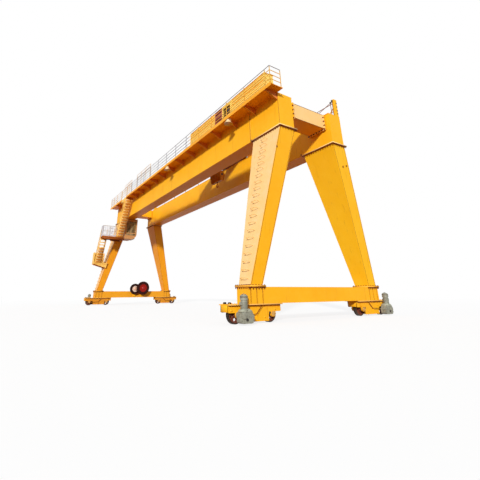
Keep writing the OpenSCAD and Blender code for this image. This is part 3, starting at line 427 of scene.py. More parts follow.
def weathered(name, colour, streaks=0.5, rust=0.5, dust=0.4, wash=0.0, lean_sheen=0.0):
    """Sprayed enamel on outdoor steel. Broad noise changes its tone, noise drawn out downwards gives rain
    streaks, small high noise gives rust at chips, faces that look up hold dust, faces that look down are
    painted browner as a painted shade, and the last argument is how far the faces that lean back a little
    are painted paler, a painted sheen."""
    coat = Finish(bpy.data.materials.new(name))
    where = coat.place()
    tone = coat.noise(where, 0.55, 4.0)
    cloud = coat.step(coat.noise(where, 2.6, 5.0, 0.65), 0.35, 0.75)
    run = coat.noise(coat.stretch(where, (7.0, 7.0, 0.28)), 1.0, 5.0, 0.7)
    streak = coat.step(run, 0.56, 0.78) * streaks
    fine = coat.step(coat.noise(where, 24.0, 6.0, 0.75), 0.70, 0.76)
    chip = fine * coat.step(coat.noise(where, 1.3, 2.0), 0.48, 0.7) * rust
    up = coat.split(coat.node("ShaderNodeNewGeometry", {}, {}, "Normal"))[2]
    facing_up = coat.step(up, 0.6, 0.95)
    # painted sheen: faces that lean back a little are mixed towards pale cream, standing in for the sky's sheen
    # on them
    leaning_sheen = coat.step(up, 0.14, 0.2) * coat.step(up, 0.5, 0.35) * lean_sheen
    # painted shade: faces that look down are mixed towards a browner colour, standing in for the shade under them
    under = coat.step(up, -0.5, -0.9)
    settled = facing_up * coat.step(coat.noise(where, 1.7, 5.0), 0.3, 0.7) * dust
    deep = [colour[0] * 0.90, colour[1] * 0.84, colour[2] * 0.7, 1.0]
    pale = [min(1.0, colour[0] * 1.05), min(1.0, colour[1] * 1.14), min(1.0, colour[2] * 1.6 + 0.01), 1.0]
    sprayed = coat.mix(tone, deep, pale)
    washed = [c * 0.55 + 0.40 * colour[0] * k for c, k in zip(colour[:3], (1.08, 0.74, 0.10))] + [1.0]
    faded = coat.mix(cloud * wash, sprayed, washed)
    # the painted sheen on the faces that lean back
    faded = coat.mix(leaning_sheen * (cloud * 0.25 + 0.75), faded, shade(238, 208, 158))
    # the painted shade on the faces that look down
    faded = coat.mix(under * 0.85, faded, [colour[0] * 1.0, colour[0] * 0.4, colour[2] * 0.05, 1.0])
    rained = coat.mix(streak, faded, [colour[0] * 0.52, colour[1] * 0.42, colour[2] * 0.5 + 0.006, 1.0])
    rusted = coat.mix(chip, rained, shade(104, 56, 30))
    coat.feed(Base_Color=coat.mix(settled, rusted, shade(150, 136, 112)),
              Roughness=coat.noise(where, 12.0, 3.0) * 0.22 + 0.36 + settled * 0.4,
              Normal=coat.bump(coat.noise(where, 34.0, 3.0) + coat.noise(where, 1.1, 2.0) * 6.0, 0.16, 0.006),
              Coat_Roughness=0.3, Coat_Weight=0.03, Specular_IOR_Level=0.15)
    return coat


yellow = weathered("yellow_enamel", shade(254, 184, 18), rust=0.35, wash=0.2, lean_sheen=0.9)
foot_yellow = weathered("foot_enamel", shade(250, 180, 18), streaks=0.65, rust=0.75, dust=0.6, wash=0.2)
# dark brown for weld seams, drain slots and switch posts, and painted shade along the legs' corners, ribs,
# stiffeners, overhangs and the right railing
seam_and_shade_brown = weathered("seam_grime_and_painted_shade", shade(128, 66, 10), rust=0.9, dust=0.2)
# pale enamel, and a painted highlight where it rims the head plates
pale_yellow = weathered("pale_enamel_and_highlight", shade(246, 204, 128), streaks=0.4, dust=0.5, wash=0.3)
# The next two coats are darker copies of the foot enamel: painted shade on the far sill beam and on the far
# bogies.
far_shaded_foot = weathered("far_foot_shaded_enamel", shade(236, 162, 28), streaks=0.65, rust=0.75, dust=0.6, wash=0.1)
far_shaded_bogie = weathered("far_bogie_shaded_enamel", shade(216, 142, 30), streaks=0.65, rust=0.9, dust=0.6)
for node, coat in (("bogie_near_left", foot_yellow), ("bogie_near_right", foot_yellow),
                   ("bogie_far_left", far_shaded_bogie), ("bogie_far_right", far_shaded_bogie)):
    dress(node, coat)
bogie_parts, bearing_parts, sweeper_parts, bogie_seams, ledge_parts = [], [], [], [], []
bogie_half_width, seam = 0.25, 0.004
# outline of the stiffener's edge: a low dark bead, weld grime and painted shadow beside the plate, with the plate
# standing up from it
edge_profile = [(-0.030, 0.0), (0.030, 0.0), (0.030, 0.003), (0.013, 0.006),
                (0.013, 0.040), (-0.013, 0.040), (-0.013, 0.006), (-0.030, 0.003)]
bearing_cap = [(0.105, 0.0), (0.105, 0.014), (0.08, 0.024), (0.05, 0.024), (0.045, 0.03)]
for mx, my in [(ex * half_span, sy * bogie_y) for ex in (1, -1) for sy in (-1, 1)]:
    inward = -1 if my > 0 else 1
    for face in (1, -1):
        skin_x = mx + face * bogie_half_width
        # bolts of the deep plate and of the arms, given from the bogie's middle towards the crane's
        for size, places in ((0.05, ((0.46, 0.21), (0.46, 0.10), (-0.08, 0.11), (-0.40, 0.50))),
                             (0.06, ((0.99, 0.485), (-1.15, 0.485)))):
            bogie_parts.append(bolts(along_x, face, size, [(skin_x, my + inward * a, b) for a, b in places]))
        # the top plate's flange stands out past the side plates, less far beside the motor; its paler coat is a
        # painted highlight of its lit front
        for reach, a, b in ((0.15, 0.50, -1.30), (0.11, 1.30, 0.50)):
            ledge_parts.append(block((skin_x, my - inward * a, 0.664),
                                     (skin_x + face * reach, my - inward * b, 0.703), 0.004))
        # the bent stiffener's edge, and a dark strip under the top plate, a painted shadow of its overhang
        bend = [(skin_x, my + inward * a, b) for a, b in ((0.37, 0.655), (0.05, 0.32), (-0.67, 0.285))]
        bogie_seams.append(sweep(edge_profile, bend, top=(face, 0, 0)))
        bogie_seams.append(block((skin_x, my - 1.28, 0.636), (skin_x + face * seam, my + 1.28, 0.664), 0.001))
        for end in (-1, 1):
            hub_x, hub_y = mx + face * 0.305, my + end * wheel_half_base
            if face * mx < 0 or end == inward:
                bearing_parts.append(turned(along_x, face, (hub_x, hub_y, axle_height), bearing_cap))
                spots = ring_places(hub_x + face * 0.014, hub_y, axle_height, 0.092, 6)
                bearing_parts.append(bolts(along_x, face, 0.022, spots))
        # rail sweeper's dark rubber block under the inner arm, and a cable gland on the outer one
        sweeper_x, sweeper_y, gland_y = mx + face * 0.16, my - inward * 1.16, my + inward * 0.74
        sweeper_parts.append(upright_box((sweeper_x, sweeper_y), (0.04, 0.06), 0.70, 0.775, 0.015))
        sweeper_parts.append(upright_box((skin_x, gland_y), (0.05, 0.07), 0.335, 0.405, 0.01))
    # end plates with a thin skin over the arms
    for end in (-1, 1):
        y = my + end * 1.3
        bogie_parts.append(block((mx - bogie_half_width, y, 0.425),
                                 (mx + bogie_half_width, y - end * 0.012, 0.665), 0.003))
    top_places = [(mx + a, my - inward * b, 0.7065) for a in (-0.21, 0.21) for b in (0.8, 0.95, 1.2)]
    bogie_parts.append(bolts(along_z, 1, 0.04, top_places))
build("bogie_trim", bogie_parts, foot_yellow)
build("bogie_ledges", ledge_parts,
      weathered("ledge_highlight_enamel", shade(246, 188, 92), streaks=0.4, rust=0.6, dust=0.5, wash=0.2))
build("bogie_seams", bogie_seams, seam_and_shade_brown)
bearing_coat = part_coat("bearing_cap", shade(206, 156, 76), flecks(14.0, 3.0, 0.6, 0.7), shade(120, 104, 84))
build("bearing_caps", bearing_parts, bearing_coat, "gantry", 35)
black_coat = part_coat("black_enamel", shade(34, 30, 30), flecks(26.0, 3.0, 0.7, 0.78),
                       shade(90, 86, 82), 0.42)
build("rail_sweepers", sweeper_parts, black_coat, "gantry")


# Travel drives: a cast bell-shaped gear case stands before each outer wheel with its finned motor
# upright on top. Both are a dusty grey-green, paler on the case's shoulder, with a black plug and a
# browner fan cowl.
worn_casting = flecks(30.0, 2.0, 0.74, 0.8)
drive_coat = part_coat("drive_grey_green", shade(146, 148, 134), worn_casting, shade(140, 136, 126), 0.55)
for node in ("travel_drives_near", "travel_drives_far"):
    dress(node, drive_coat)
drive_parts, drive_dark, shoulders, cowls = [], [], [], []
round_turn = np.arange(32) * math.pi / 16
shaft_cover = [(0.12, 0.0), (0.12, 0.01), (0.10, 0.02), (0.05, 0.02)]
cowl_band = [(0.149, 0.0), (0.1525, 0.006), (0.1525, 0.045), (0.149, 0.051)]
case_bolts = ((0.265, 0.17), (0.265, 0.26), (0.232, 0.37), (0.19, 0.455), (0.15, 0.085))
shoulder_rings = ((0.13, 0.22, 0.445), (0.157, 0.25, 0.452), (0.157, 0.25, 0.495),
                  (0.150, 0.236, 0.506), (0.14, 0.20, 0.53), (0.12, 0.16, 0.548))
for ex in (1, -1):
    for sy in (-1, 1):
        back, front, case_y = ex * 13.385, ex * 13.665, sy * 4.47
        motor_x, motor_y = ex * 13.525, sy * 4.52
        # broad shoulder and collar under the motor: rounded rings, |x/a|^4 + |y/b|^4 = 1, that draw in upwards
        c, s = np.cos(round_turn), np.sin(round_turn)
        bell = [np.column_stack([motor_x + a * np.sign(c) * abs(c) ** 0.5,
                                 case_y + sy * 0.02 + b * np.sign(s) * abs(s) ** 0.5, np.full(32, z)])
                for a, b, z in shoulder_rings]
        shoulders.append(skin(np.array(bell[::-1])))
        spots = [(front, case_y + s * a, b) for s in (-1, 1) for a, b in case_bolts]
        drive_parts.append(bolts(along_x, ex, 0.028, spots))
        # split flange round the case at its waist, and the cover over the wheel shaft
        waist = [(x, case_y + y, 0.30)
                 for x, y in ((back, -0.30), (front, -0.30), (front, 0.30), (back, 0.30))]
        drive_parts.append(sweep(strip(0.022, 0.028, -0.014), waist, loop=True))
        drive_parts.append(turned(along_x, ex, (front + ex * 0.014, sy * 4.62, 0.325), shaft_cover, 28))
        # terminal box on the motor's outer side, its lifting eye and its fan cowl
        box_y = motor_y + sy * 0.15
        drive_parts.append(upright_box((motor_x, box_y), (0.06, 0.03), 0.68, 0.79, 0.01))
        eye = [(motor_x, motor_y + 0.035 * math.cos(t), 1.045 + 0.035 * math.sin(t))
               for t in np.linspace(0, 2 * math.pi, 12, endpoint=False)]
        drive_parts.append(sweep(disc(0.009, 6), eye, top=(1, 0, 0), loop=True))
        cowls.append(turned(along_z, 1, (motor_x, motor_y, 0.935), cowl_band, 32))
        for y in (motor_y - 0.065, motor_y + 0.065):
            cowls.append(upright_box((motor_x, y), (0.03, 0.025), 1.0, 1.062, 0.012))
        drive_dark.append(turned(along_x, ex, (front, sy * 4.50, 0.19),
                                 [(0.045, 0.0), (0.045, 0.03), (0.03, 0.038)], 14))
build("drive_trim", drive_parts, drive_coat, "gantry", 35)
shoulder_coat = part_coat("drive_shoulder_grey", shade(172, 176, 158), worn_casting,
                          shade(150, 146, 134), 0.55)
build("drive_shoulders", shoulders, shoulder_coat, "gantry", 35)
build("drive_breathers", drive_dark, black_coat, "gantry", 35)
cowl_coat = part_coat("fan_cowl_grey", shade(112, 106, 92), worn_casting, shade(150, 146, 134), 0.55)
build("motor_cowl_bands", cowls, cowl_coat, "gantry", 35)


# Sill beams and legs: welded box beams joined by thick bolted plates. The bolt rows stand on the
# plates' rims, and the four lowest webs carry stiffening ribs.
dress("sill_beam_near", foot_yellow)
dress("sill_beam_far", far_shaded_foot)
# Below: a darker copy of the yellow, painted shade on the far legs, and a paler one, painted light on the near
# right leg.
far_shaded_yellow = weathered("far_frame_shaded_enamel", shade(240, 158, 16), rust=0.35, wash=0.1, lean_sheen=0.7)
sunlit_yellow = weathered("sunlit_enamel", shade(255, 192, 18), rust=0.35, wash=0.2, lean_sheen=0.9)
for node, coat in (("leg_near_left", yellow), ("leg_near_right", sunlit_yellow), ("leg_far_left", far_shaded_yellow),
                   ("leg_far_right", far_shaded_yellow)):
    dress(node, coat)
dress("girder_leg_pads", pale_yellow)


def rim_places(middle, half_x, half_y, z, pitch):
    """Evenly spaced places round a rectangle, half_x by half_y about middle, at height z."""
    nx, ny = max(2, round(2 * half_x / pitch)), max(2, round(2 * half_y / pitch))
    x, y = np.linspace(-half_x, half_x, nx + 1), np.linspace(-half_y, half_y, ny + 1)[1:-1]
    flat = np.concatenate([np.column_stack([x, np.full(nx + 1, s * half_y)]) for s in (-1, 1)]
                          + [np.column_stack([np.full(ny - 1, s * half_x), y]) for s in (-1, 1)])
    return np.column_stack([flat + np.array(middle), np.full(len(flat), z)])


def studs(places, across):
    """Nuts under a plate, each with the stud that it closes."""
    return [bolts(along_z, -1, across, places),
            copies(lathe([(0.02, -0.075), (0.02, 0.0)], along_z, 8), places)]


joint_bolts, plate_edges, foot_edges, leg_seams = [], [], [], []
girder_y, foot_top, head_low = 1.895, 1.386, 8.64
for ex in (1, -1):
    for sy in (-1, 1):
        foot, head = (ex * half_span, sy * bogie_y), (ex * half_span, sy * girder_y)
        joint_bolts.append(bolts(along_z, 1, 0.05,
                                 rim_places(foot, 0.387 + 0.05, 0.31 + 0.05, foot_top, 0.145)))
        for middle, half_x, half_y, z, pitch, edges in ((foot, 0.437, 0.36, 1.326, 0.145, foot_edges),
                                                        (head, 1.085, 0.54, head_low, 0.17, plate_edges)):
            joint_bolts += studs(rim_places(middle, half_x, half_y, z, pitch), 0.055)
            # washer bars under the plate's rim, dark as a painted shade of the shadow under its overhang, and a
            # thin strip round its rim, pale at the head plates as a painted highlight of the lit edge
            for outline, more, rise, into in ((strip(0.06, 0.010, -0.010), 0.0, 0.0, joint_bolts),
                                              (strip(0.006, 0.056), 0.042, 0.002, edges)):
                rim = [(middle[0] + a * (half_x + more), middle[1] + b * (half_y + more), z + rise)
                       for a, b in ((-1, -1), (1, -1), (1, 1), (-1, 1))]
                into.append(sweep(outline, rim, loop=True))
        # lip of the foot plate past the sill beam's end, with its own nuts
        foot_edges.append(block((foot[0] - 0.477, sy * 4.168, 1.327),
                                (foot[0] + 0.477, sy * 4.222, 1.385), 0.004))
        places = [(foot[0] + x, sy * 4.197, 1.327) for x in np.linspace(-0.44, 0.44, 8)]
        joint_bolts += studs(places, 0.045) + [bolts(along_z, 1, 0.045, np.array(places) + (0, 0, 0.058))]
        # dark strips down the leg's corners beside the flange plates' welds, weld grime and painted shadow of the
        # plates' overhang, and beside the sill beam's ribs, a painted shadow of the ribs
        for a in (-1, 1):
            for b in (-1, 1):
                corner = [(foot[0] + a * 0.3865, foot[1] + b * 0.27, 1.39),
                          (head[0] + a * 1.0345, head[1] + b * 0.45, 8.635)]
                leg_seams.append(sweep(disc(0.008, 6), corner))
            skin_x = foot[0] + a * 0.39
            for rib in (-0.3, 0.0, 0.3):
                rib_y = foot[1] + rib
                leg_seams.append(block((skin_x, rib_y - 0.024, 0.71),
                                       (skin_x + a * seam, rib_y + 0.024, 1.322), 0.001))
# dark red-brown for bolts, and painted shade on the washer bars
dark_bolts = weathered("dark_bolt_and_shade_enamel", shade(122, 52, 14), streaks=0.3, rust=0.9, dust=0.2)
build("leg_joint_bolts", joint_bolts, dark_bolts, "gantry")
build("leg_plate_edges", plate_edges, pale_yellow)
build("foot_plate_edges", foot_edges, weathered("foot_edge_enamel", shade(248, 178, 54), rust=0.8, wash=0.2))
build("leg_seams", leg_seams, seam_and_shade_brown, smooth=60)
lug = block((-0.02, -0.022, -0.05), (0.045, 0.022, 0.05), 0.008)
lug_places = [(x, y, z) for x in (13.93, -13.96) for y, z in ((-2.62, 7.5), (2.12, 7.45), (2.42, 7.55))]
build("leg_lifting_lugs", [copies(lug, lug_places[:3]), copies(lug, lug_places[3:])],
      dark_bolts, "gantry")


# Main girders: two long welded boxes. Their web plates are butted every few metres with a low
# weld bead, and the flange plates stand a little proud of the webs.
for node in ("girder_left", "girder_right", "cross_beam_stubs", "cross_beam_far",
             "trolley_end_stops", "girder_end_posts"):
    dress(node, yellow)
dress("cross_beam_near", pale_yellow)


def bars(ends, radius, count=8):
    """Round bars between pairs of points. Each end is a ring, end + radius (cos t side + sin t high),
    where side and high are square to the bar; all bars share one pattern of faces."""
    ends = np.array(ends, float).reshape(-1, 2, 3)
    along = ends[:, 1] - ends[:, 0]
    along = along / np.linalg.norm(along, axis=1)[:, None]
    guide = np.where(np.abs(along[:, 2:]) > 0.9, [[1.0, 0.0, 0.0]], [[0.0, 0.0, 1.0]])
    side = np.cross(along, guide)
    side = side / np.linalg.norm(side, axis=1)[:, None]
    high = np.cross(side, along)
    ring = disc(radius, count)
    rings = ring[None, :, :1] * side[:, None] + ring[None, :, 1:] * high[:, None]
    points = ends[:, :, None] + rings[:, None]
    shift = np.arange(len(ends)) * 2 * count
    return (points.reshape(-1, 3),
            [(faces[None] + shift[:, None, None]).reshape(-1, faces.shape[1])
             for faces in skin(points[0])[1]])


web_low, web_high, web_joint, girder_top = 8.73, 10.50, 11.74, 10.53


def bead_up(x, wall, radius):
    """A bead that runs up a girder's web at x."""
    return sweep(disc(radius, 6), [(x, wall, web_low), (x, wall, web_high)], top=(0, 1, 0))


weld_parts, girder_seams = [], []
for sy in (-1, 1):
    for face in (-1, 1):
        wall = sy * girder_y + face * 0.465
        weld_parts += [bead_up(x, wall, 0.008) for x in (-web_joint, -5.87, 0.0, 5.87, web_joint)]
        if face == sy:
            girder_seams += [bead_up(s * x, wall, radius)
                             for x, radius in ((11.70, 0.013), (14.0, 0.008)) for s in (-1, 1)]
        weld_parts += [sweep(disc(0.007, 6), [(-14.03, wall, z), (14.03, wall, z)]) for z in (8.727, 10.503)]
for ex in (-1, 1):
    # dark bars along the cross beams' edges are a painted shade under their flanges, and the drain slots at
    # the webs' lower ends hold grime
    girder_seams += [bars([((ex * x, -1.0, z), (ex * x, 1.3, z))], 0.012, 6)
                     for x in (12.6, 13.7) for z in (9.656, 10.524)]
    for sy in (-1, 1):
        for face in (-1, 1):
            slot_x, slot_y = ex * web_joint, sy * girder_y + face * 0.468
            girder_seams.append(upright_box((slot_x, slot_y), (0.05, 0.012), 8.74, 8.84, 0.004))
build("girder_welds", weld_parts, yellow, smooth=60)
build("girder_seams", girder_seams, seam_and_shade_brown, smooth=60)

stub_bolts, stub_x = [], 13.15
for ex in (1, -1):
    for y, sign in ((-1.03, -1), (-1.03, 1), (1.34, -1), (1.34, 1)):
        shift = 0.03 if sign > 0 else -0.03
        stub_bolts += [bolts(along_y, sign, 0.065, [(ex * stub_x + edge, y + shift, z)])
                       for z in (9.62, 9.85, 10.1, 10.35) for edge in (-0.58, 0.58)]
        low_row = [(ex * stub_x + e, y + shift, 9.605) for e in (-0.4, -0.2, 0.0, 0.2, 0.4)]
        stub_bolts.append(bolts(along_y, sign, 0.055, low_row))
build("cross_beam_bolts", stub_bolts, dark_bolts, "gantry")

# each end post carries bolts and two slim limit-switch posts with dark heads
switch_posts, switch_heads = [], []
for ex in (1, -1):
    post_x = ex * 13.95
    ends = [((post_x, 1.86, girder_top), (post_x, 1.86, 11.34)),
            ((post_x, 2.04, girder_top), (post_x, 2.04, 11.5)),
            ((ex * 13.74, 1.05, 10.55), (ex * 13.93, 2.10, 11.56))]
    switch_posts.append(bars(ends, 0.018))
    switch_heads += [upright_box((post_x, y), (0.035, 0.045), z - 0.055, z + 0.055, 0.012)
                     for y, z in ((1.88, 11.38), (2.03, 11.56))]
    switch_heads.append(bolts(along_x, ex, 0.045,
                              [(ex * 14.015, 2.30, z) for z in (10.75, 10.95, 11.2, 11.45)]))
build("switch_posts", switch_posts, seam_and_shade_brown, smooth=40)
build("switch_heads", switch_heads, black_coat, "gantry", 40)


# Trolley rails: rolled rail on the middle of each girder, worn bright on top, held by pairs of
# small bolted clips.
def rail_head(coat, where):
    """Bright where the height is that of the rail's running surface."""
    return coat.step(coat.split(where)[2], 10.607, 10.612)


rail_coat = part_coat("rail_steel", shade(96, 66, 48), rail_head, shade(168, 162, 156), 0.55)
for node in ("trolley_rail_left", "trolley_rail_right"):
    dress(node, rail_coat)
clip = block((-0.035, -0.03, 0.0), (0.035, 0.03, 0.018), 0.004)
nut = hex_bolt(along_z, 1, 0.028)
clip_places = [(x, sy * girder_y + s * 0.07, girder_top)
               for sy in (-1, 1) for s in (-1, 1) for x in np.arange(-12.2, 12.3, 0.7)]
build("rail_clips", [copies(clip, clip_places), copies((nut[0] + (0, 0, 0.018), nut[1]), clip_places)],
      rail_coat, "gantry")


# Walkway: a welded plate deck hangs on the left girder on flanged brackets. Chequered plates lie on
# it, and a pale toe strip with a rolled lip closes its outer edge.
def deck_plate(coat, where):
    """Raised crossing bars of chequered plate: high where two slanted sine waves meet."""
    x, y, z = coat.split(where)
    wave = lambda turn: coat.node("ShaderNodeMath", {"operation": "SINE"}, {0: x * 130.0 + y * 130.0 * turn})
    return coat.step(wave(1.0) * wave(-1.0), 0.35, 0.7)


walk_yellow = weathered("walkway_enamel", shade(246, 170, 30), streaks=0.6, rust=0.6, dust=0.7, wash=0.2)
dress("walkway_deck", walk_yellow)
# The brackets' deep orange coat is a painted shade: they hang in the deck's shade.
dress("walkway_brackets", weathered("bracket_shade_enamel", shade(222, 134, 56), rust=0.7, dust=0.5, wash=0.1))
bracket_rows = np.arange(13.97, -12.2, -1.73)
bracket_places = [(x + s * 0.028, -3.12, 10.407)
                  for x in bracket_rows if not -10.03 < x < -8.32 for s in (-1, 1)]
build("bracket_bolts", [bolts(along_z, -1, 0.03, bracket_places)], dark_bolts, "gantry")
lip_parts = []
for start, end in ((-14.40, -9.97), (-8.38, 14.40)):
    lip_parts.append(sweep(disc(0.014, 8), [(start - 0.02, -3.156, 10.62), (end + 0.02, -3.156, 10.62)]))
    lip_parts.append(block((start, -3.157, 10.535), (end, -3.151, 10.60), 0.002))
build("deck_edge", lip_parts, pale_yellow, smooth=40)

plate_finish = weathered("chequered_enamel", shade(232, 164, 44), streaks=0.2, rust=0.8, dust=0.9, wash=0.35)
plate_finish.feed(Normal=plate_finish.bump(deck_plate(plate_finish, plate_finish.place()), 0.6, 0.004))
plates = []
for start, end in ((-14.42, -9.96), (-8.39, 14.42)):
    for x in np.arange(start, end - 0.2, 1.5):
        plates.append(block((x, -3.14, 10.5605), (min(x + 1.494, end), -2.372, 10.5655), 0.002))
build("deck_plates", plates, plate_finish)


# Railings: round tubes on flat feet. Four bars run past the posts on the walkway, two on the
# other girder, and the ends of the walkway are closed the same way.
def railing(along, posts, floor_z, levels, radius=0.021):
    """Bars along a flat path at several levels above a floor, posts at given places and a foot under each."""
    path, posts = (np.column_stack([places, np.full(len(places), floor_z)]) for places in (along, posts))
    runs = [(p + (0, 0, h), q + (0, 0, h)) for h in levels for p, q in zip(path[:-1], path[1:])]
    uprights = np.stack([posts, posts + (0, 0, max(levels))], 1)
    turns = np.concatenate([path + (0, 0, h) for h in levels])
    knee = lathe([(0.0001, -radius), (radius * 0.8, -radius * 0.6), (radius, 0),
                  (radius * 0.8, radius * 0.6), (0.0001, radius)], along_z, 8)
    foot = block((-0.05, -0.03, 0), (0.05, 0.03, 0.01), 0.003)
    return [bars(runs, radius * 0.86), bars(uprights, radius), copies(knee, turns), copies(foot, posts)]


def painted_ahead(coat, where):
    """Yellow where the railing passes the cabinets, 1 past X 5.8 and under the top bar."""
    x, y, z = coat.split(where)
    return coat.step(x, 5.7, 5.8) * coat.step(z, 11.58, 11.55)


grey = weathered("grey_enamel", shade(150, 152, 164), streaks=0.3, dust=0.3)
cream = weathered("cream_enamel", shade(214, 178, 118), streaks=0.4, rust=0.6)
pale_grey = weathered("pale_grey_enamel", shade(206, 206, 204), streaks=0.3, dust=0.3)
rail_grey = part_coat("rail_enamel", shade(150, 152, 164), painted_ahead, shade(250, 196, 80), 0.55)
rail_grey.feed(Metallic=0.0)
outer_posts = [x + 0.042 for x in bracket_rows if not -9.95 < x < -8.4] + [-9.992, -8.358, -13.2, -14.380]
levels, deck_top = (0.281, 0.541, 0.80, 1.059), 10.56
rail_parts = railing([(-6.9, -3.129), (14.380, -3.129), (14.380, -2.43)],
                     [(x, -3.129) for x in outer_posts if x > -6.9] + [(14.380, -3.129), (14.380, -2.43)],
                     deck_top, levels)
tubes = build("walkway_rail_tubes", rail_parts, rail_grey, "gantry", 40)
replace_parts(tubes, "walkway_railing", "walkway_end_railings")
end_parts = railing([(-6.9, -3.129), (-14.380, -3.129), (-14.380, -2.43)],
                    [(x, -3.129) for x in outer_posts if x < -6.9] + [(-14.380, -2.43)], deck_top, levels)
# two higher guards stand just inside the railing, one of them over the stairhead
for x0, x1, posts in ((-9.28, -7.0, (-8.337, -7.69, -7.0)), (-5.36, -1.80, (-5.36, -4.173, -2.987, -1.80))):
    end_parts += railing([(x0, -3.087), (x1, -3.087)], [(x, -3.087) for x in posts], deck_top,
                         (0.592, 0.884, 1.162, 1.439), 0.019)
    end_parts.append(bars([((x0, -3.087, 11.15), (x0, -3.087, 12.0))], 0.019))
bays = build("far_rail_tubes", end_parts, cream, "gantry", 40)
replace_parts(bays, "walkway_guard_bays")
# The right railing and the thin plates at its posts are dark brown, a painted shade of their shaded side.
right_posts = [(x, 2.343) for x in np.linspace(-13.874, 13.874, 11)]
right_parts = railing([(-13.874, 2.343), (13.874, 2.343)], right_posts, girder_top, (0.519, 1.059))
right_parts += [block((x - 0.05, 2.332, girder_top), (x + 0.05, 2.338, 11.60), 0.002) for x, _ in right_posts]
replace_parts(build("right_rail_tubes", right_parts, seam_and_shade_brown, "gantry", 40),
            "right_girder_railing")


# Cabinets on the walkway: ribbed sheet boxes, one of them red-brown with resistor grids inside and
# one with a dark window. Each has a folded roof, doors with hinges and handles on the deck side.
cabinet_yellow = weathered("cabinet_enamel", shade(255, 212, 98), streaks=0.3, rust=0.4, dust=0.5, wash=0.1)
dress("ribbed_cabinets", cabinet_yellow)
dress("electrical_house", cabinet_yellow)
red_brown = weathered("red_brown_enamel", shade(190, 104, 84), rust=0.4)
dress("resistor_box", red_brown)
cabinet_parts, cabinet_dark = [], []
roof_low, door_y, post_half = 11.558, -2.44, 0.02
for x0, x1, doors in ((5.90, 9.14, 4), (9.98, 10.94, 1), (10.98, 13.88, 4)):
    cabinet_parts.append(block((x0 - 0.03, -3.062, roof_low), (x1 + 0.03, door_y, 11.576), 0.004))
    for edge in (x0 + 0.015, x1 - 0.015):
        cabinet_parts.append(block((edge - post_half, -3.058, 10.60),
                                   (edge + post_half, -3.036, 11.556), 0.004))
    wide = (x1 - x0 - 0.06) / doors
    for i in range(doors):
        left = x0 + 0.03 + i * wide
        right = left + wide
        cabinet_parts.append(block((left + 0.015, -2.458, 10.66), (right - 0.015, -2.442, 11.50), 0.005))
        cabinet_dark.append(block((right - 0.11, -2.444, 11.02), (right - 0.08, -2.425, 11.16), 0.006))
        hinge = bars([((0, 0, 0), (0, 0, 0.08))], 0.011)
        cabinet_parts.append(copies(hinge, [(left + 0.02, -2.438, z) for z in (10.78, 11.32)]))
        for z in (10.74, 10.78, 10.82, 10.86):
            cabinet_dark.append(block((left + wide * 0.3, -2.444, z),
                                      (left + wide * 0.7, -2.436, z + 0.014), 0.003))
build("cabinet_trim", cabinet_parts, cabinet_yellow)
slots = [block((9.25, y - 0.006, z), (9.87, y + 0.006, z + 0.022), 0.004)
         for z in np.arange(10.70, 11.46, 0.085) for y in (-3.055, -2.45)]
worn_coat = flecks(26.0, 3.0, 0.66, 0.76)
slot_brown = part_coat("slot_brown", shade(120, 58, 48), worn_coat, shade(130, 84, 70), 0.6)
build("resistor_slots", slots, slot_brown, "gantry")
roof_parts = [block((9.15, -3.062, roof_low), (9.97, door_y, 11.578), 0.004)]
roof_parts += [block((x - post_half, -3.062, 10.58), (x + post_half, -3.03, 11.556), 0.004)
               for x in (9.20, 9.92)]
build("resistor_roof", roof_parts, red_brown, "gantry")

glass = Finish(bpy.data.materials.new("tinted_glass"))
smear = glass.noise(glass.stretch(glass.place(), (2.0, 2.0, 0.6)), 1.6, 4.0)
smear = glass.step(smear, 0.35, 0.75)
glass.feed(Base_Color=glass.mix(smear, shade(118, 94, 58), shade(182, 158, 114)),
           Roughness=smear * 0.2 + 0.08, Alpha=0.8, Coat_Weight=0.3)
glass.owner.surface_render_method = "BLENDED"
def pane_reflection_clouds(coat, where):
    """A mask of broad clouds for part_coat, drawn out downwards, where a pane shows a painted reflection."""
    return coat.step(coat.noise(coat.stretch(where, (3.0, 3.0, 1.0)), 1.4, 2.0), 0.55, 0.8)


# The dark pane's pale pinkish clouds are a painted reflection.
dark_pane = part_coat("dark_pane", shade(22, 8, 8), pane_reflection_clouds, shade(140, 104, 100), 0.2)
build("cabinet_window", [block((10.09, -2.995, 10.80), (10.83, -2.989, 11.39), 0.002)],
      dark_pane, "gantry")
pane_corners = [(x, -3.045, z) for x, z in ((10.09, 10.80), (10.83, 10.80), (10.83, 11.39), (10.09, 11.39))]
build("cabinet_window_frame",
      [sweep(strip(0.04, 0.012), pane_corners, top=(0, -1, 0), loop=True)], cabinet_yellow)
# a grid of bars behind the window
cabinet_dark.append(block((10.12, -2.985, 10.84), (10.80, -2.975, 10.98), 0.004))
for x in np.arange(10.2, 10.8, 0.12):
    cabinet_dark.append(block((x, -2.986, 11.02), (x + 0.05, -2.976, 11.32), 0.006))
build("cabinet_fittings", cabinet_dark, black_coat, "gantry")


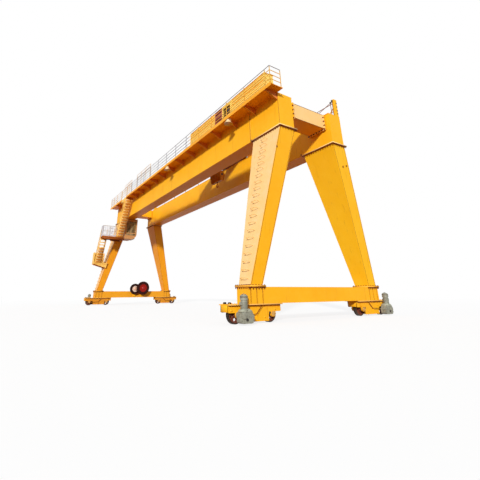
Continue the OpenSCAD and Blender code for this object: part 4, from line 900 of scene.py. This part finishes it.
# Floodlights: round spun-metal shades hang under the deck's edge, each closed by a ribbed lens and
# held by a forked bracket.
lamp_coat = part_coat("lamp_shade", shade(240, 208, 160), flecks(18.0, 3.0, 0.68, 0.78),
                      shade(180, 174, 160), 0.4)
dress("floodlights", lamp_coat)
lamp_parts, lens_parts = [], []
for x in (10.67, 2.10):
    at = np.array((x, -3.09, 10.10))
    lamp_parts.append(turned(along_z, 1, at - (0, 0, 0.004),
                             [(0.2405, 0.0), (0.249, 0.004), (0.249, 0.03), (0.2405, 0.034)], 32))
    # the lens bulges down as a parabola with six low ribs
    ribs = [(0.02 + 0.035 * k + s * 0.012, -0.043 * (1 - (0.035 * k / 0.24) ** 2) + s * 0.004)
            for k in range(6) for s in (0, 1)]
    lens_parts.append(turned(along_z, 1, at, [(0.0001, -0.045)] + ribs + [(0.232, -0.002)], 32))
    fork = [at + (x, 0, z) for x, z in ((-0.252, 0.02), (-0.252, 0.16), (-0.10, 0.40),
                                        (0.10, 0.40), (0.252, 0.16), (0.252, 0.02))]
    lamp_parts.append(sweep(strip(0.03, 0.006, -0.003), fork, top=(0, 1, 0)))
build("lamp_rims", lamp_parts, part_coat("lamp_rim", shade(176, 132, 84), worn_coat, shade(120, 96, 70), 0.5),
      "gantry", 40)
lens = part_coat("lamp_lens", shade(196, 148, 96), flecks(5.0, 2.0, 0.6, 0.9), shade(226, 196, 150), 0.25)
build("lamp_lenses", lens_parts, lens, "gantry", 50)


# Leg rungs: U-shaped round bars welded up the outer face of the two left legs. The square CAD bars
# are replaced by bent rod with a small weld pad at each foot.
dress("leg_rungs", pale_yellow)
lean = math.atan2((bogie_y + 0.31) - (girder_y + 0.49), head_low - foot_top)
up_leg = np.array((0.0, math.sin(lean), math.cos(lean)))
off_leg = np.array((0.0, -math.cos(lean), math.sin(lean)))
rung_path = [np.array((x, 0, 0)) + off_leg * out
             for x, out in ((-0.19, 0.0), (-0.19, 0.125), (-0.165, 0.15), (0.165, 0.15),
                            (0.19, 0.125), (0.19, 0.0))]
rung_pitch, rung_margin = 0.34, 0.25
rung_places = [np.array((ex * half_span, -4.08, foot_top)) + up_leg * d + off_leg * 0.001 for ex in (1, -1)
               for d in np.arange(rung_margin,
                                  (head_low - foot_top) / math.cos(lean) - rung_margin, rung_pitch)]
pad = lathe([(0.026, 0.0), (0.024, 0.006), (0.015, 0.01)], [(1, 0, 0), tuple(up_leg), tuple(off_leg)], 10)
rungs = build("leg_rung_bars", [copies(sweep(disc(0.012, 8), rung_path, top=up_leg), rung_places)]
              + [copies(pad, np.array(rung_places) + (s * 0.19, 0, 0)) for s in (-1, 1)], pale_yellow,
              smooth=40)
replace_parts(rungs, "leg_rungs")


# Operator's cab: a welded shell with a rounded lower front, hung under the left girder by flanges.
# Rubber-set panes sit in raised frames; a seat and a control desk show through the glass.
cab_coat = weathered("cab_enamel", shade(200, 146, 84), streaks=0.7, wash=0.1)
dress("cab_shell", cab_coat)
dress("cab_glass", glass)


def pane_frame(plane, a, b, low, high, axis, out, width=0.035, depth=0.014):
    """Raised frame round a pane in the plane where the axis coordinate is plane, facing out."""
    corners = [(a, low), (b, low), (b, high), (a, high)]
    at = [(plane, p, q) if axis == 0 else (p, plane, q) for p, q in corners]
    top = (out, 0, 0) if axis == 0 else (0, out, 0)
    return sweep([(-width, 0.0), (width, 0.0), (width * 0.8, depth), (-width * 0.8, depth)], at, top=top,
                 loop=True)


cab_parts, cab_rubber, cab_pale = [], [], []
for plane, out in ((-10.285, 1), (-11.835, -1)):
    cab_parts.append(pane_frame(plane, -2.255, -1.215, 7.17, 8.44, 0, out))
    cab_rubber.append(pane_frame(plane - out * 0.012, -2.235, -1.235, 7.19, 8.42, 0, out, 0.018, 0.016))
    bar_x = plane - out * 0.016
    cab_rubber += [bars([((bar_x, y, 7.18), (bar_x, y, 8.43))], 0.014) for y in (-1.90, -1.55)]
    cab_rubber.append(bars([((bar_x, -2.25, 7.52), (bar_x, -1.22, 7.52))], 0.014))
    # pressed swages on the wall below the pane and a drip rail above it
    for z in ((6.74, 6.82) if out > 0 else (6.80, 6.95)):
        cab_parts.append(sweep(strip(0.03, 0.008), [(plane, -2.28, z), (plane, -1.35, z)], top=(out, 0, 0)))
    cab_pale.append(block((plane, -2.36, 8.50), (plane + out * 0.05, -1.12, 8.53), 0.004))
cab_parts.append(pane_frame(-1.085, -11.705, -10.415, 7.17, 8.44, 1, 1))
cab_rubber.append(pane_frame(-1.097, -11.685, -10.435, 7.19, 8.42, 1, 1, 0.018, 0.016))
for x in (-11.27, -10.85):
    cab_rubber.append(bars([((x, -1.10, 7.18), (x, -1.10, 8.43))], 0.014))
cab_pale.append(block((-11.80, -1.085, 8.50), (-10.32, -1.035, 8.53), 0.004))
# low sight pane under the front window
cab_sight = [block((-10.286, -2.235, 6.93), (-10.278, -1.235, 7.12), 0.002)]
cab_parts.append(pane_frame(-10.285, -2.255, -1.215, 6.91, 7.14, 0, 1, 0.02, 0.012))
build("cab_sight_pane", cab_sight, glass, "gantry")
# hanging flange under the girder, row of clips at the front corner and hinges on the wall
cab_parts.append(block((-11.90, -2.40, 8.66), (-10.22, -1.07, 8.699), 0.004))
cab_parts.append(bolts(along_z, -1, 0.04,
                       [(x, y, 8.66) for x in (-11.86, -11.3, -10.8, -10.26) for y in (-2.36, -1.11)]))
cab_pale += [block((-10.286, -1.165, z), (-10.262, -1.125, z + 0.07), 0.005)
             for z in np.arange(7.2, 8.45, 0.155)]
# door on the platform side: leaf, handle and hinges
cab_parts.append(block((-11.70, -2.401, 6.72), (-10.95, -2.386, 8.50), 0.006))
cab_rubber.append(pane_frame(-2.401, -11.60, -11.05, 7.45, 8.35, 1, -1, 0.02, 0.012))
cab_rubber.append(block((-11.58, -2.404, 7.47), (-11.07, -2.400, 8.33), 0.002))
cab_rubber.append(block((-11.08, -2.44, 7.30), (-11.04, -2.40, 7.42), 0.006))
build("cab_frames", cab_parts, cab_coat, smooth=30)
build("cab_seals", cab_rubber, black_coat, "gantry", 40)
build("cab_light_trim", cab_pale, cream, "gantry")
inside = part_coat("cab_inside", shade(168, 158, 128), flecks(9.0, 2.0, 0.72, 0.8), shade(120, 112, 96), 0.6)
desk = [block((-10.75, -2.25, 6.70), (-10.42, -1.98, 7.50), 0.02),
        block((-10.78, -2.28, 7.50), (-10.38, -1.94, 7.62), 0.02),
        block((-10.75, -1.52, 6.70), (-10.42, -1.25, 7.45), 0.02),
        block((-11.75, -2.2, 6.62), (-10.35, -1.2, 6.64), 0.004)]
build("cab_desks", desk, inside, "gantry")
seat = [block((-11.15, -1.98, 6.98), (-10.68, -1.55, 7.10), 0.03),
        block((-11.22, -1.96, 7.08), (-11.10, -1.57, 7.72), 0.035),
        block((-11.20, -1.88, 7.74), (-11.12, -1.65, 7.92), 0.03),
        block((-10.98, -1.80, 6.64), (-10.86, -1.72, 6.98), 0.01),
        bars([((-10.6, -2.1, 7.60), (-10.6, -2.1, 7.76)), ((-10.6, -1.4, 7.44), (-10.6, -1.4, 7.62))], 0.014)]
build("cab_seat", seat, black_coat, "gantry", 35)


# Platform, stairs and landing: checker-plate floors in angle frames. Bent plate brackets carry them,
# each stair tread has a nosing, and toe strips close the open edges.
def above_floor(coat, where):
    """The platform's guard: 1 just above its floor."""
    return coat.step(coat.split(where)[2], 6.68, 6.70)


platform_coat = part_coat("platform_enamel", shade(184, 108, 40), above_floor, shade(206, 206, 204))
platform_coat.feed(Metallic=0.0, Specular_IOR_Level=0.2)
dress("cab_platform", platform_coat)
stair_coat = weathered("stair_enamel", shade(250, 202, 98), streaks=0.6, rust=0.7, dust=0.3, wash=0.1)
for node in ("upper_stair", "lower_stair", "lower_landing"):
    dress(node, stair_coat)
stair_parts, step_plates, step_lips, risers = [], [], [], []
platform_z, landing_z = 6.67, 4.15


def flight(foot, head, y0, y1, steps):
    """Nosings on the treads of one stair, bolts at the tread ends and a flange along each stringer."""
    foot, head = np.array(foot, float), np.array(head, float)
    for y in (y0 + 0.006, y1 - 0.006):
        run = [(foot[0], y, foot[1] + 0.004), (head[0], y, head[1] + 0.004)]
        stair_parts.append(sweep(strip(0.045, 0.008), run))
    heights = foot[1] + np.arange(1, steps + 1) * (head[1] - foot[1]) / (steps + 1)
    places = foot[0] + (heights - foot[1]) * (head[0] - foot[0]) / (head[1] - foot[1])
    for x, z in zip(places, heights):
        stair_parts.append(bars([((x + 0.035, y0 + 0.013, z - 0.010), (x + 0.035, y1 - 0.013, z - 0.010))],
                                0.013))
        step_plates.append(block((x + 0.045, y0 + 0.02, z), (x + 0.22, y1 - 0.02, z + 0.004), 0.0015))
        step_lips.append(block((x + 0.206, y0 + 0.02, z - 0.10), (x + 0.216, y1 - 0.02, z - 0.002), 0.002))
        # the lower stair's last steps run under the platform and have no closing sheet
        if foot[1] > 6 or z < 5.9:
            risers.append(block((x + 0.200, y0 + 0.02, z - 0.25), (x + 0.204, y1 - 0.02, z - 0.09), 0.001))
    for y, sign in ((y0, -1), (y1, 1)):
        spots = [(x + d, y, z - 0.015) for x, z in zip(places, heights) for d in (0.07, 0.19)]
        stair_parts.append(bolts(along_y, sign, 0.016, spots))


flight((-10.578, platform_z), (-8.4, deck_top), -3.13, -2.546, 14)
flight((-12.506, landing_z), (-11.095, platform_z), -4.595, -4.011, 9)
# second handrail of each stair, on its inner side
for foot, head, y in (((-10.578, platform_z), (-8.82, 9.81), -2.525),
                      ((-12.506, landing_z), (-11.15, 6.57), -3.99)):
    foot, head = np.array(foot), np.array(head)
    ends = [((foot[0] + 0.02, y, foot[1] + h), (head[0] + 0.02, y, head[1] + h)) for h in (0.475, 0.95)]
    ends += [((p[0] + 0.04, y, p[1] - 0.03), (p[0] + 0.04, y, p[1] + 0.95))
             for p in (foot + s * (head - foot) for s in (0.06, 0.35, 0.64, 0.92))]
    stair_parts.append(bars(ends, 0.017))
# curbs round the hatch over the upper stair
stair_parts += [block((-9.972, -3.13, 10.20), (-9.956, -2.38, 10.535), 0.002),
                block((-9.96, -3.15, 10.22), (-8.40, -3.138, 10.535), 0.002)]
# closing plate from the deck's edge down to the last tread, in the risers' painted shade
risers.append(block((-8.374, -3.135, 10.30), (-8.366, -2.40, 10.536), 0.002))
build("stair_trim", stair_parts, stair_coat, smooth=40)
# The lips are paler than the treads: a painted highlight of their lit edges.
build("stair_lips", step_lips, weathered("step_lip_highlight_enamel", shade(255, 218, 138), streaks=0.3, dust=0.2))
# The risers and the closing plate are a deeper brown: painted shade between the treads and in the hatch.
build("stair_risers", risers, weathered("riser_shade_enamel", shade(196, 124, 36), rust=0.7, dust=0.2))
floor_places = [((-11.83, -3.51, 6.6705), (-10.29, -2.39, 6.675)),
                ((-11.09, -4.63, 6.6705), (-10.29, -3.52, 6.675)),
                ((-13.30, -4.71, 4.1505), (-12.19, -3.50, 4.155))]
build("floor_plates", step_plates + [block(a, b, 0.002) for a, b in floor_places],
      plate_finish, "gantry")
close_levels = (0.14, 0.27, 0.40, 0.53, 0.66, 0.80, 0.93, 1.06)
guard = railing([(-10.306, -4.614), (-10.306, -3.31)], [(-10.306, y) for y in np.linspace(-4.614, -3.31, 8)],
                platform_z, close_levels, 0.018)
guard += railing([(-11.074, -4.614), (-10.306, -4.614)],
                 [(x, -4.614) for x in np.linspace(-11.074, -10.48, 4)], platform_z, close_levels, 0.018)
guard += [block((-10.312, -4.63, 6.675), (-10.300, -3.29, 6.79), 0.003),
          block((-11.09, -4.630, 6.675), (-10.29, -4.618, 6.79), 0.003)]
guard += railing([(-11.82, -2.42), (-11.82, -3.50), (-11.13, -3.50)],
                 [(-11.82, y) for y in (-2.42, -2.96, -3.50)] + [(-11.15, -3.50)],
                 platform_z, (0.54, 1.06), 0.018)
build("platform_guard", guard, pale_grey, "gantry", 40)
edge = [sweep(strip(0.05, 0.012, -0.006), [(-10.279, -4.63, 6.61), (-10.279, -2.39, 6.61)], top=(1, 0, 0)),
        sweep(strip(0.05, 0.012, -0.006), [(-11.09, -4.632, 6.61), (-10.29, -4.632, 6.61)], top=(0, -1, 0))]
for x in (-11.75, -11.06, -10.35):
    far_y = -3.48 if x < -11.1 else -4.60
    edge.append(sweep([(-0.006, 0.0), (-0.006, -0.14), (0.006, -0.14), (0.006, 0.0)],
                      [(x, -2.39, 6.549), (x, far_y, 6.549)]))
    edge.append(sweep(strip(0.07, 0.008, -0.15), [(x, -2.39, 6.549), (x, far_y, 6.549)]))
build("platform_beams", edge, weathered("platform_beam_enamel", shade(170, 90, 24), rust=0.6))
landing_parts = railing([(-13.285, -3.56), (-13.285, -4.694), (-12.59, -4.694)],
                        [(-13.285, y) for y in (-3.58, -4.14, -4.694)] + [(-12.61, -4.694)], landing_z,
                        (0.27, 0.54, 0.80, 1.06), 0.018)
landing_parts += [block((-13.306, -4.713, 4.155), (-13.294, -3.52, 4.30), 0.003),
                  block((-13.30, -4.713, 4.155), (-12.20, -4.702, 4.30), 0.003)]
# sheets that close the landing's railing, and flanges under its two brackets
landing_parts += [block((-13.300, -4.69, 4.18), (-13.296, -3.56, 5.19), 0.001),
                  block((-13.28, -4.712, 4.18), (-12.62, -4.708, 5.19), 0.001)]
landing_parts += [block((-12.66, -3.57, 3.66), (-12.236, -3.44, 3.72), 0.004),
                  block((-12.66, -3.52, 4.03), (-12.236, -3.40, 4.09), 0.004)]
for x in (-13.236, -12.256):
    landing_parts.append(sweep(strip(0.07, 0.010, -0.010), [(x, -4.70, 4.010), (x, -3.555, 3.672)]))
build("landing_trim", landing_parts, stair_coat, smooth=40)


# Cable reels: flat spiral drums on the far sill beam. Each holds layer on layer of black cable
# between spoked cheeks, turned by the round gear housing on its hub.
reel_red = part_coat("reel_red", shade(160, 20, 20), flecks(26.0, 3.0, 0.7, 0.78), shade(96, 40, 36), 0.38)
cable_coat = part_coat("cable_sheath", shade(30, 13, 12),
                       flecks(16.0, 3.0, 0.66, 0.8), shade(90, 50, 42), 0.5)
hub_pale = part_coat("hub_enamel", shade(226, 180, 152), flecks(22.0, 3.0, 0.66, 0.78),
                     shade(150, 128, 116), 0.45)


def near_axle(y, z, radius):
    """A mask for part_coat that is 1 within a radius of a reel's axle."""
    def mask(coat, where):
        _, side, high = coat.split(where)
        return coat.step(((side - y) ** 2.0 + (high - z) ** 2.0) ** 0.5, radius + 0.01, radius - 0.01)
    return mask


large_coat = part_coat("large_reel_coat", shade(50, 15, 12), near_axle(0.77, 1.65, 0.40), shade(172, 40, 30))
small_coat = part_coat("small_reel_coat", shade(46, 17, 14),
                       near_axle(-0.06, 1.56, 0.30), shade(255, 226, 204))
for coat in (cable_coat, large_coat, small_coat):
    coat.feed(Metallic=0.0, Specular_IOR_Level=0.12)
dress("cable_reel_large", large_coat)
dress("cable_reel_small", small_coat)
dress("reel_stand", foot_yellow)


def band(inner, outer, height):
    """Profile of a flat ring for lathe."""
    return [(inner, 0.0), (outer, 0.0), (outer, height), (inner, height)]


hub_cap = [(0.16, 0.0), (0.16, 0.05), (0.13, 0.075), (0.06, 0.08), (0.055, 0.10), (0.0001, 0.10)]
for name, x0, x1, y, z, radius, coat, hub, slot in (
        ("large", -12.27, -12.14, 0.77, 1.65, 0.68, large_coat, reel_red, "reel_red"),
        ("small", -12.49, -12.36, -0.06, 1.56, 0.54, small_coat, hub_pale, "reel_black")):
    body, middle, half = name + "_reel", (x0 + x1) / 2, (x1 - x0) / 2
    cable = []
    for k in range(int(radius * 0.38 / 0.030)):
        for s in (-1, 1):
            r, h = radius * 0.56 + k * 0.030, s * 0.024
            section = [(r + 0.012 * math.cos(t), h + 0.024 * math.sin(t))
                       for t in np.arange(0, 6) * math.pi / 3]
            cable.append(turned(along_x, 1, (middle, y, z), section, 36, True))
    build("cable_turns_" + name, cable, cable_coat, body, 60)
    cheeks = []
    for face in (-1, 1):
        axle = np.array((middle + face * (half + 0.002), y, z))
        for a in np.arange(12) * math.pi / 6:
            tip = np.array((0, math.cos(a), math.sin(a)))
            spoke = [axle + tip * radius * 0.20, axle + tip * radius * 0.975]
            cheeks.append(sweep(strip(0.035, 0.010), spoke, top=(face, 0, 0)))
        cheeks.append(turned(along_x, face, axle, band(radius * 0.955, radius * 0.998, 0.016), 48, True))
        cheeks.append(turned(along_x, face, axle, band(radius * 0.50, radius * 0.54, 0.014), 48, True))
    build("reel_cheeks_" + name, cheeks, coat, body, 50)
    parts = [turned(along_x, 1, (middle + half + 0.012, y, z), hub_cap, 32),
             bolts(along_x, 1, 0.022, ring_places(middle + half + 0.062, y, z, 0.135, 8))]
    build("reel_hub_" + name, parts, hub, body, 40)


# Trolley: a welded frame of box members on four rail wheels. It carries chequered plates, guard
# rails, the wheels' bearing boxes, travel motors and rubber buffers.
# The trolley's brown-orange coat is a painted shade: its yellow paint as seen in the girders' shade.
trolley_coat = weathered("trolley_shade_enamel", shade(176, 98, 18), streaks=0.6, rust=0.8, dust=0.6)
dress("trolley_frame", trolley_coat)
dress("trolley_wheels", wheel_coat)
trolley_parts, trolley_black, trolley_grey = [], [], []
tx, frame_top, wheel_reach = 4.55, 11.21, 1.52
for sy in (-1, 1):
    y = sy * girder_y
    for ex in (-1, 1):
        wheel_x = tx + ex * wheel_reach
        for face in (-1, 1):
            plate_y = y + face * 0.131
            trolley_parts.append(upright_box((wheel_x, plate_y), (0.15, 0.012), 10.73, 11.02, 0.008))
            trolley_grey.append(turned(along_y, face, (wheel_x, y + face * 0.143, 10.82),
                                       [(0.085, 0.0), (0.085, 0.02), (0.06, 0.035), (0.0001, 0.038)]))
            trolley_parts.append(bolts(along_y, face, 0.03,
                                       [(wheel_x + a, y + face * 0.143, b)
                                        for a in (-0.12, 0.12) for b in (10.76, 10.99)]))
        # rubber buffer on the frame's end, facing the end stop
        end_x = tx + ex * 2.0
        trolley_black.append(turned(along_x, ex, (end_x + ex * 0.012, y, 10.84),
                                    [(0.075, 0.0), (0.075, 0.10), (0.06, 0.14), (0.0001, 0.15)]))
        trolley_parts.append(block((end_x, y - 0.12, 10.74), (end_x + ex * 0.014, y + 0.12, 10.96), 0.003))
    for x in (tx - 0.94, tx + 0.94):
        trolley_parts.append(bolts(along_z, 1, 0.032,
                                   [(x + a, y + b, frame_top)
                                    for a in (-0.2, -0.07, 0.07, 0.2) for b in (-0.09, 0.09)]))
for x0, x1 in ((tx - 1.98, tx - 1.16), (tx + 1.16, tx + 1.98)):
    trolley_parts.append(block((x0, -1.76, 11.195), (x1, 1.76, 11.209), 0.003))
    for x in (x0 + 0.05, x1 - 0.05):
        trolley_parts.append(sweep([(-0.03, 0), (-0.03, -0.09), (0.03, -0.09), (0.03, 0)],
                                   [(x, -1.765, 11.195), (x, 1.765, 11.195)]))
build("trolley_fittings", trolley_parts, trolley_coat, "trolley")
build("trolley_buffers", trolley_black, black_coat, "trolley", 40)
guard = []
for ex in (-1, 1):
    x = tx + ex * 1.96
    guard += railing([(x, -1.97), (x, 1.97)], [(x, y) for y in np.linspace(-1.97, 1.97, 5)],
                     frame_top, (0.34, 0.69), 0.016)
for sy in (-1, 1):
    for x0, x1 in ((tx - 1.96, tx - 1.2), (tx + 1.2, tx + 1.96)):
        guard += railing([(x0, sy * 1.97), (x1, sy * 1.97)], [(x0, sy * 1.97), (x1, sy * 1.97)],
                         frame_top, (0.34, 0.69), 0.016)
build("trolley_guard", guard, grey, "trolley", 40)
# travel motors lie on the frame beside two wheels and drive them through short shafts
for ex in (-1, 1):
    x, y = tx + ex * wheel_reach, -1.50
    # ten cooling ribs along the motor's casing, then its rounded end
    fins = [(0.085 + 0.02 * (k % 2), 0.03 + 0.022 * (k // 2) + 0.011 * (k % 2)) for k in range(20)]
    casing = [(0.085, 0.0)] + fins + [(0.09, 0.30), (0.07, 0.33), (0.0001, 0.335)]
    trolley_grey.append(turned(along_y, 1, (x, y + 0.24, 10.96), casing))
    trolley_grey.append(block((x - 0.14, y - 0.10, 10.70), (x + 0.14, y + 0.24, 11.10), 0.02))
    trolley_grey.append(bars([((x, y - 0.26, 10.82), (x, y - 0.09, 10.82))], 0.04, 16))
build("trolley_drives", trolley_grey, drive_coat, "trolley", 40)


# Hoist: a grooved drum on two pedestals, turned by a gear case and motor with a drum brake. Rope
# lies in the grooves and four falls of rope run down to the hook block.
drum_z = 11.60
steel_coat = part_coat("drum_steel", shade(120, 116, 106), flecks(12.0, 3.0, 0.55, 0.7),
                       shade(150, 146, 138), 0.45)
dress("hoist_drum", steel_coat)
dress("hoist_machine", drive_coat)
rope_coat = part_coat("greased_rope", shade(62, 54, 46), flecks(30.0, 3.0, 0.6, 0.74),
                      shade(96, 90, 80), 0.45)
dress("rope_leads", rope_coat)
dress("hoist_ropes", rope_coat)
wraps = []
for x in np.concatenate([np.arange(-0.70, -0.13, 0.024), np.arange(0.16, 0.72, 0.024)]):
    ring = [(0.3115 + 0.0105 * math.cos(t), 0.0105 * math.sin(t)) for t in np.arange(5) * 2 * math.pi / 5]
    wraps.append(turned(along_x, 1, (tx + x, 0.0, drum_z), ring, 40, True))
build("drum_rope", wraps, rope_coat, "trolley", 60)


def laid_rope(x, y, z0, z1, radius=0.0105, pitch=0.16):
    """Six-strand rope: twelve points round, radius r(1 + 0.1 cos(6t)), turned by 2 pi z / pitch on the way up."""
    levels = np.linspace(z0, z1, max(3, int(abs(z1 - z0) / pitch * 6)))
    turn = np.arange(12) * math.pi / 6
    swell = radius * (1 + 0.10 * np.cos(6 * turn))
    angle_at = turn[None] + levels[:, None] * 2 * math.pi / pitch
    rows = np.stack([x + swell * np.cos(angle_at), y + swell * np.sin(angle_at),
                     np.repeat(levels[:, None], 12, 1)], -1)
    return skin(rows)


falls = [laid_rope(tx + x, s * 0.3103, 9.38, 10.88) for x in (-0.48, -0.16, 0.16, 0.48) for s in (-1, 1)]
ropes = build("hoist_rope_falls", falls, rope_coat, None, 60)
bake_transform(ropes)
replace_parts(ropes, "hoist_ropes")
leads = [laid_rope(tx + x, 0.3103, 10.88, drum_z) for x in (-0.48, -0.16, 0.16, 0.48)]
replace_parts(build("rope_lead_strands", leads, rope_coat, "trolley", 60), "rope_leads")
hoist_parts = []
for ex in (-1, 1):
    x = tx + ex * 0.825
    hoist_parts.append(turned(along_x, ex, (x + ex * 0.075, 0, drum_z),
                              [(0.13, 0.0), (0.13, 0.02), (0.10, 0.04), (0.065, 0.04), (0.06, 0.06)], 28))
    hoist_parts.append(bolts(along_z, 1, 0.034, [(x, s * 0.20, frame_top) for s in (-1, 1)]))
    for s in (-1, 1):
        hoist_parts.append(block((x - 0.10, s * 0.24 - 0.05, 11.211),
                                 (x + 0.10, s * 0.24 + 0.05, 11.235), 0.004))
gear_x, gear_y = tx + 0.96, 0.66
hoist_parts.append(upright_box((gear_x, gear_y), (0.165, 0.385), 11.54, 11.58, 0.008))
hoist_parts.append(bolts(along_z, 1, 0.03,
                         [(gear_x + a, gear_y + b, 11.58) for a in (-0.155, 0.155) for b in (-0.36, 0.36)]))
for y in (0.53, 0.83):
    hoist_parts.append(turned(along_x, 1, (gear_x + 0.15, y, 11.56),
                              [(0.12, 0.0), (0.12, 0.02), (0.08, 0.03), (0.0001, 0.03)]))
for k in range(14):
    hoist_parts.append(turned(along_x, 1, (tx - 0.9 + k * 0.032, 0.79, 11.56),
                              [(0.171, 0.0), (0.185, 0.003), (0.185, 0.011), (0.171, 0.014)], 28))
build("hoist_covers", hoist_parts, drive_coat, "trolley", 40)
brake = [turned(along_x, 1, (tx + 0.35, 0.79, 11.56),
                [(0.05, 0.0), (0.19, 0.0), (0.19, 0.12), (0.05, 0.12)], 36)]
brake += [block((tx + 0.34, 0.79 + s * 0.20 - 0.02, 11.38), (tx + 0.48, 0.79 + s * 0.20 + 0.02, 11.76), 0.01)
          for s in (-1, 1)]
brake += [bars([((tx + 0.41, 0.57, 11.74), (tx + 0.41, 1.01, 11.74))], 0.012)]
build("hoist_brake", brake, black_coat, "trolley", 40)


# Hook block: plate cheeks round the sheaves, a cross head and a forged hook with a safety latch.
# The cheeks carry guards, nuts and the two rims' bolts.
dark_steel = part_coat("dark_steel", shade(58, 52, 48), worn_coat, shade(110, 104, 98), 0.5)
# The hook block's orange-brown coat is a painted shade, the colour of the girder's web in shade.
hook_coat = weathered("hook_shade_enamel", shade(206, 128, 30), streaks=0.7, rust=0.8, dust=0.5)
dress("hook_block", hook_coat)
block_parts, block_dark = [], []
for ex in (-1, 1):
    x = tx + ex * 0.64
    block_dark.append(turned(along_x, ex, (x, 0, 9.38),
                             [(0.085, 0.0), (0.085, 0.016), (0.07, 0.03), (0.0001, 0.03)], 6))
    block_parts.append(bolts(along_x, ex, 0.036, [(x, a, b) for a in (-0.11, 0.11) for b in (8.96, 9.50)]))
    for s in (-1, 1):
        guard = [(x, s * 0.12, 9.02), (x, s * 0.18, 9.38), (x, s * 0.12, 9.55)]
        block_parts.append(sweep(strip(0.05, 0.012), guard, top=(ex, 0, 0)))
for z, y in ((9.56, 0.12), (9.56, -0.12), (8.93, 0.11), (8.93, -0.11)):
    block_parts.append(bars([((tx - 0.61, y, z), (tx + 0.61, y, z))], 0.014))
block_dark.append(turned(along_z, -1, (tx, 0, 8.90), [(0.075, 0.0), (0.075, 0.03), (0.055, 0.05)], 6))
latch = [(tx - 0.03, 0.0, 8.74), (tx - 0.07, 0.0, 8.68), (tx - 0.105, 0.0, 8.655)]
block_dark.append(sweep(strip(0.03, 0.006), latch, top=(0, 0, 1)))
build("block_guards", block_parts, hook_coat, "hook")
build("block_hardware", block_dark, dark_steel, "hook", 40)
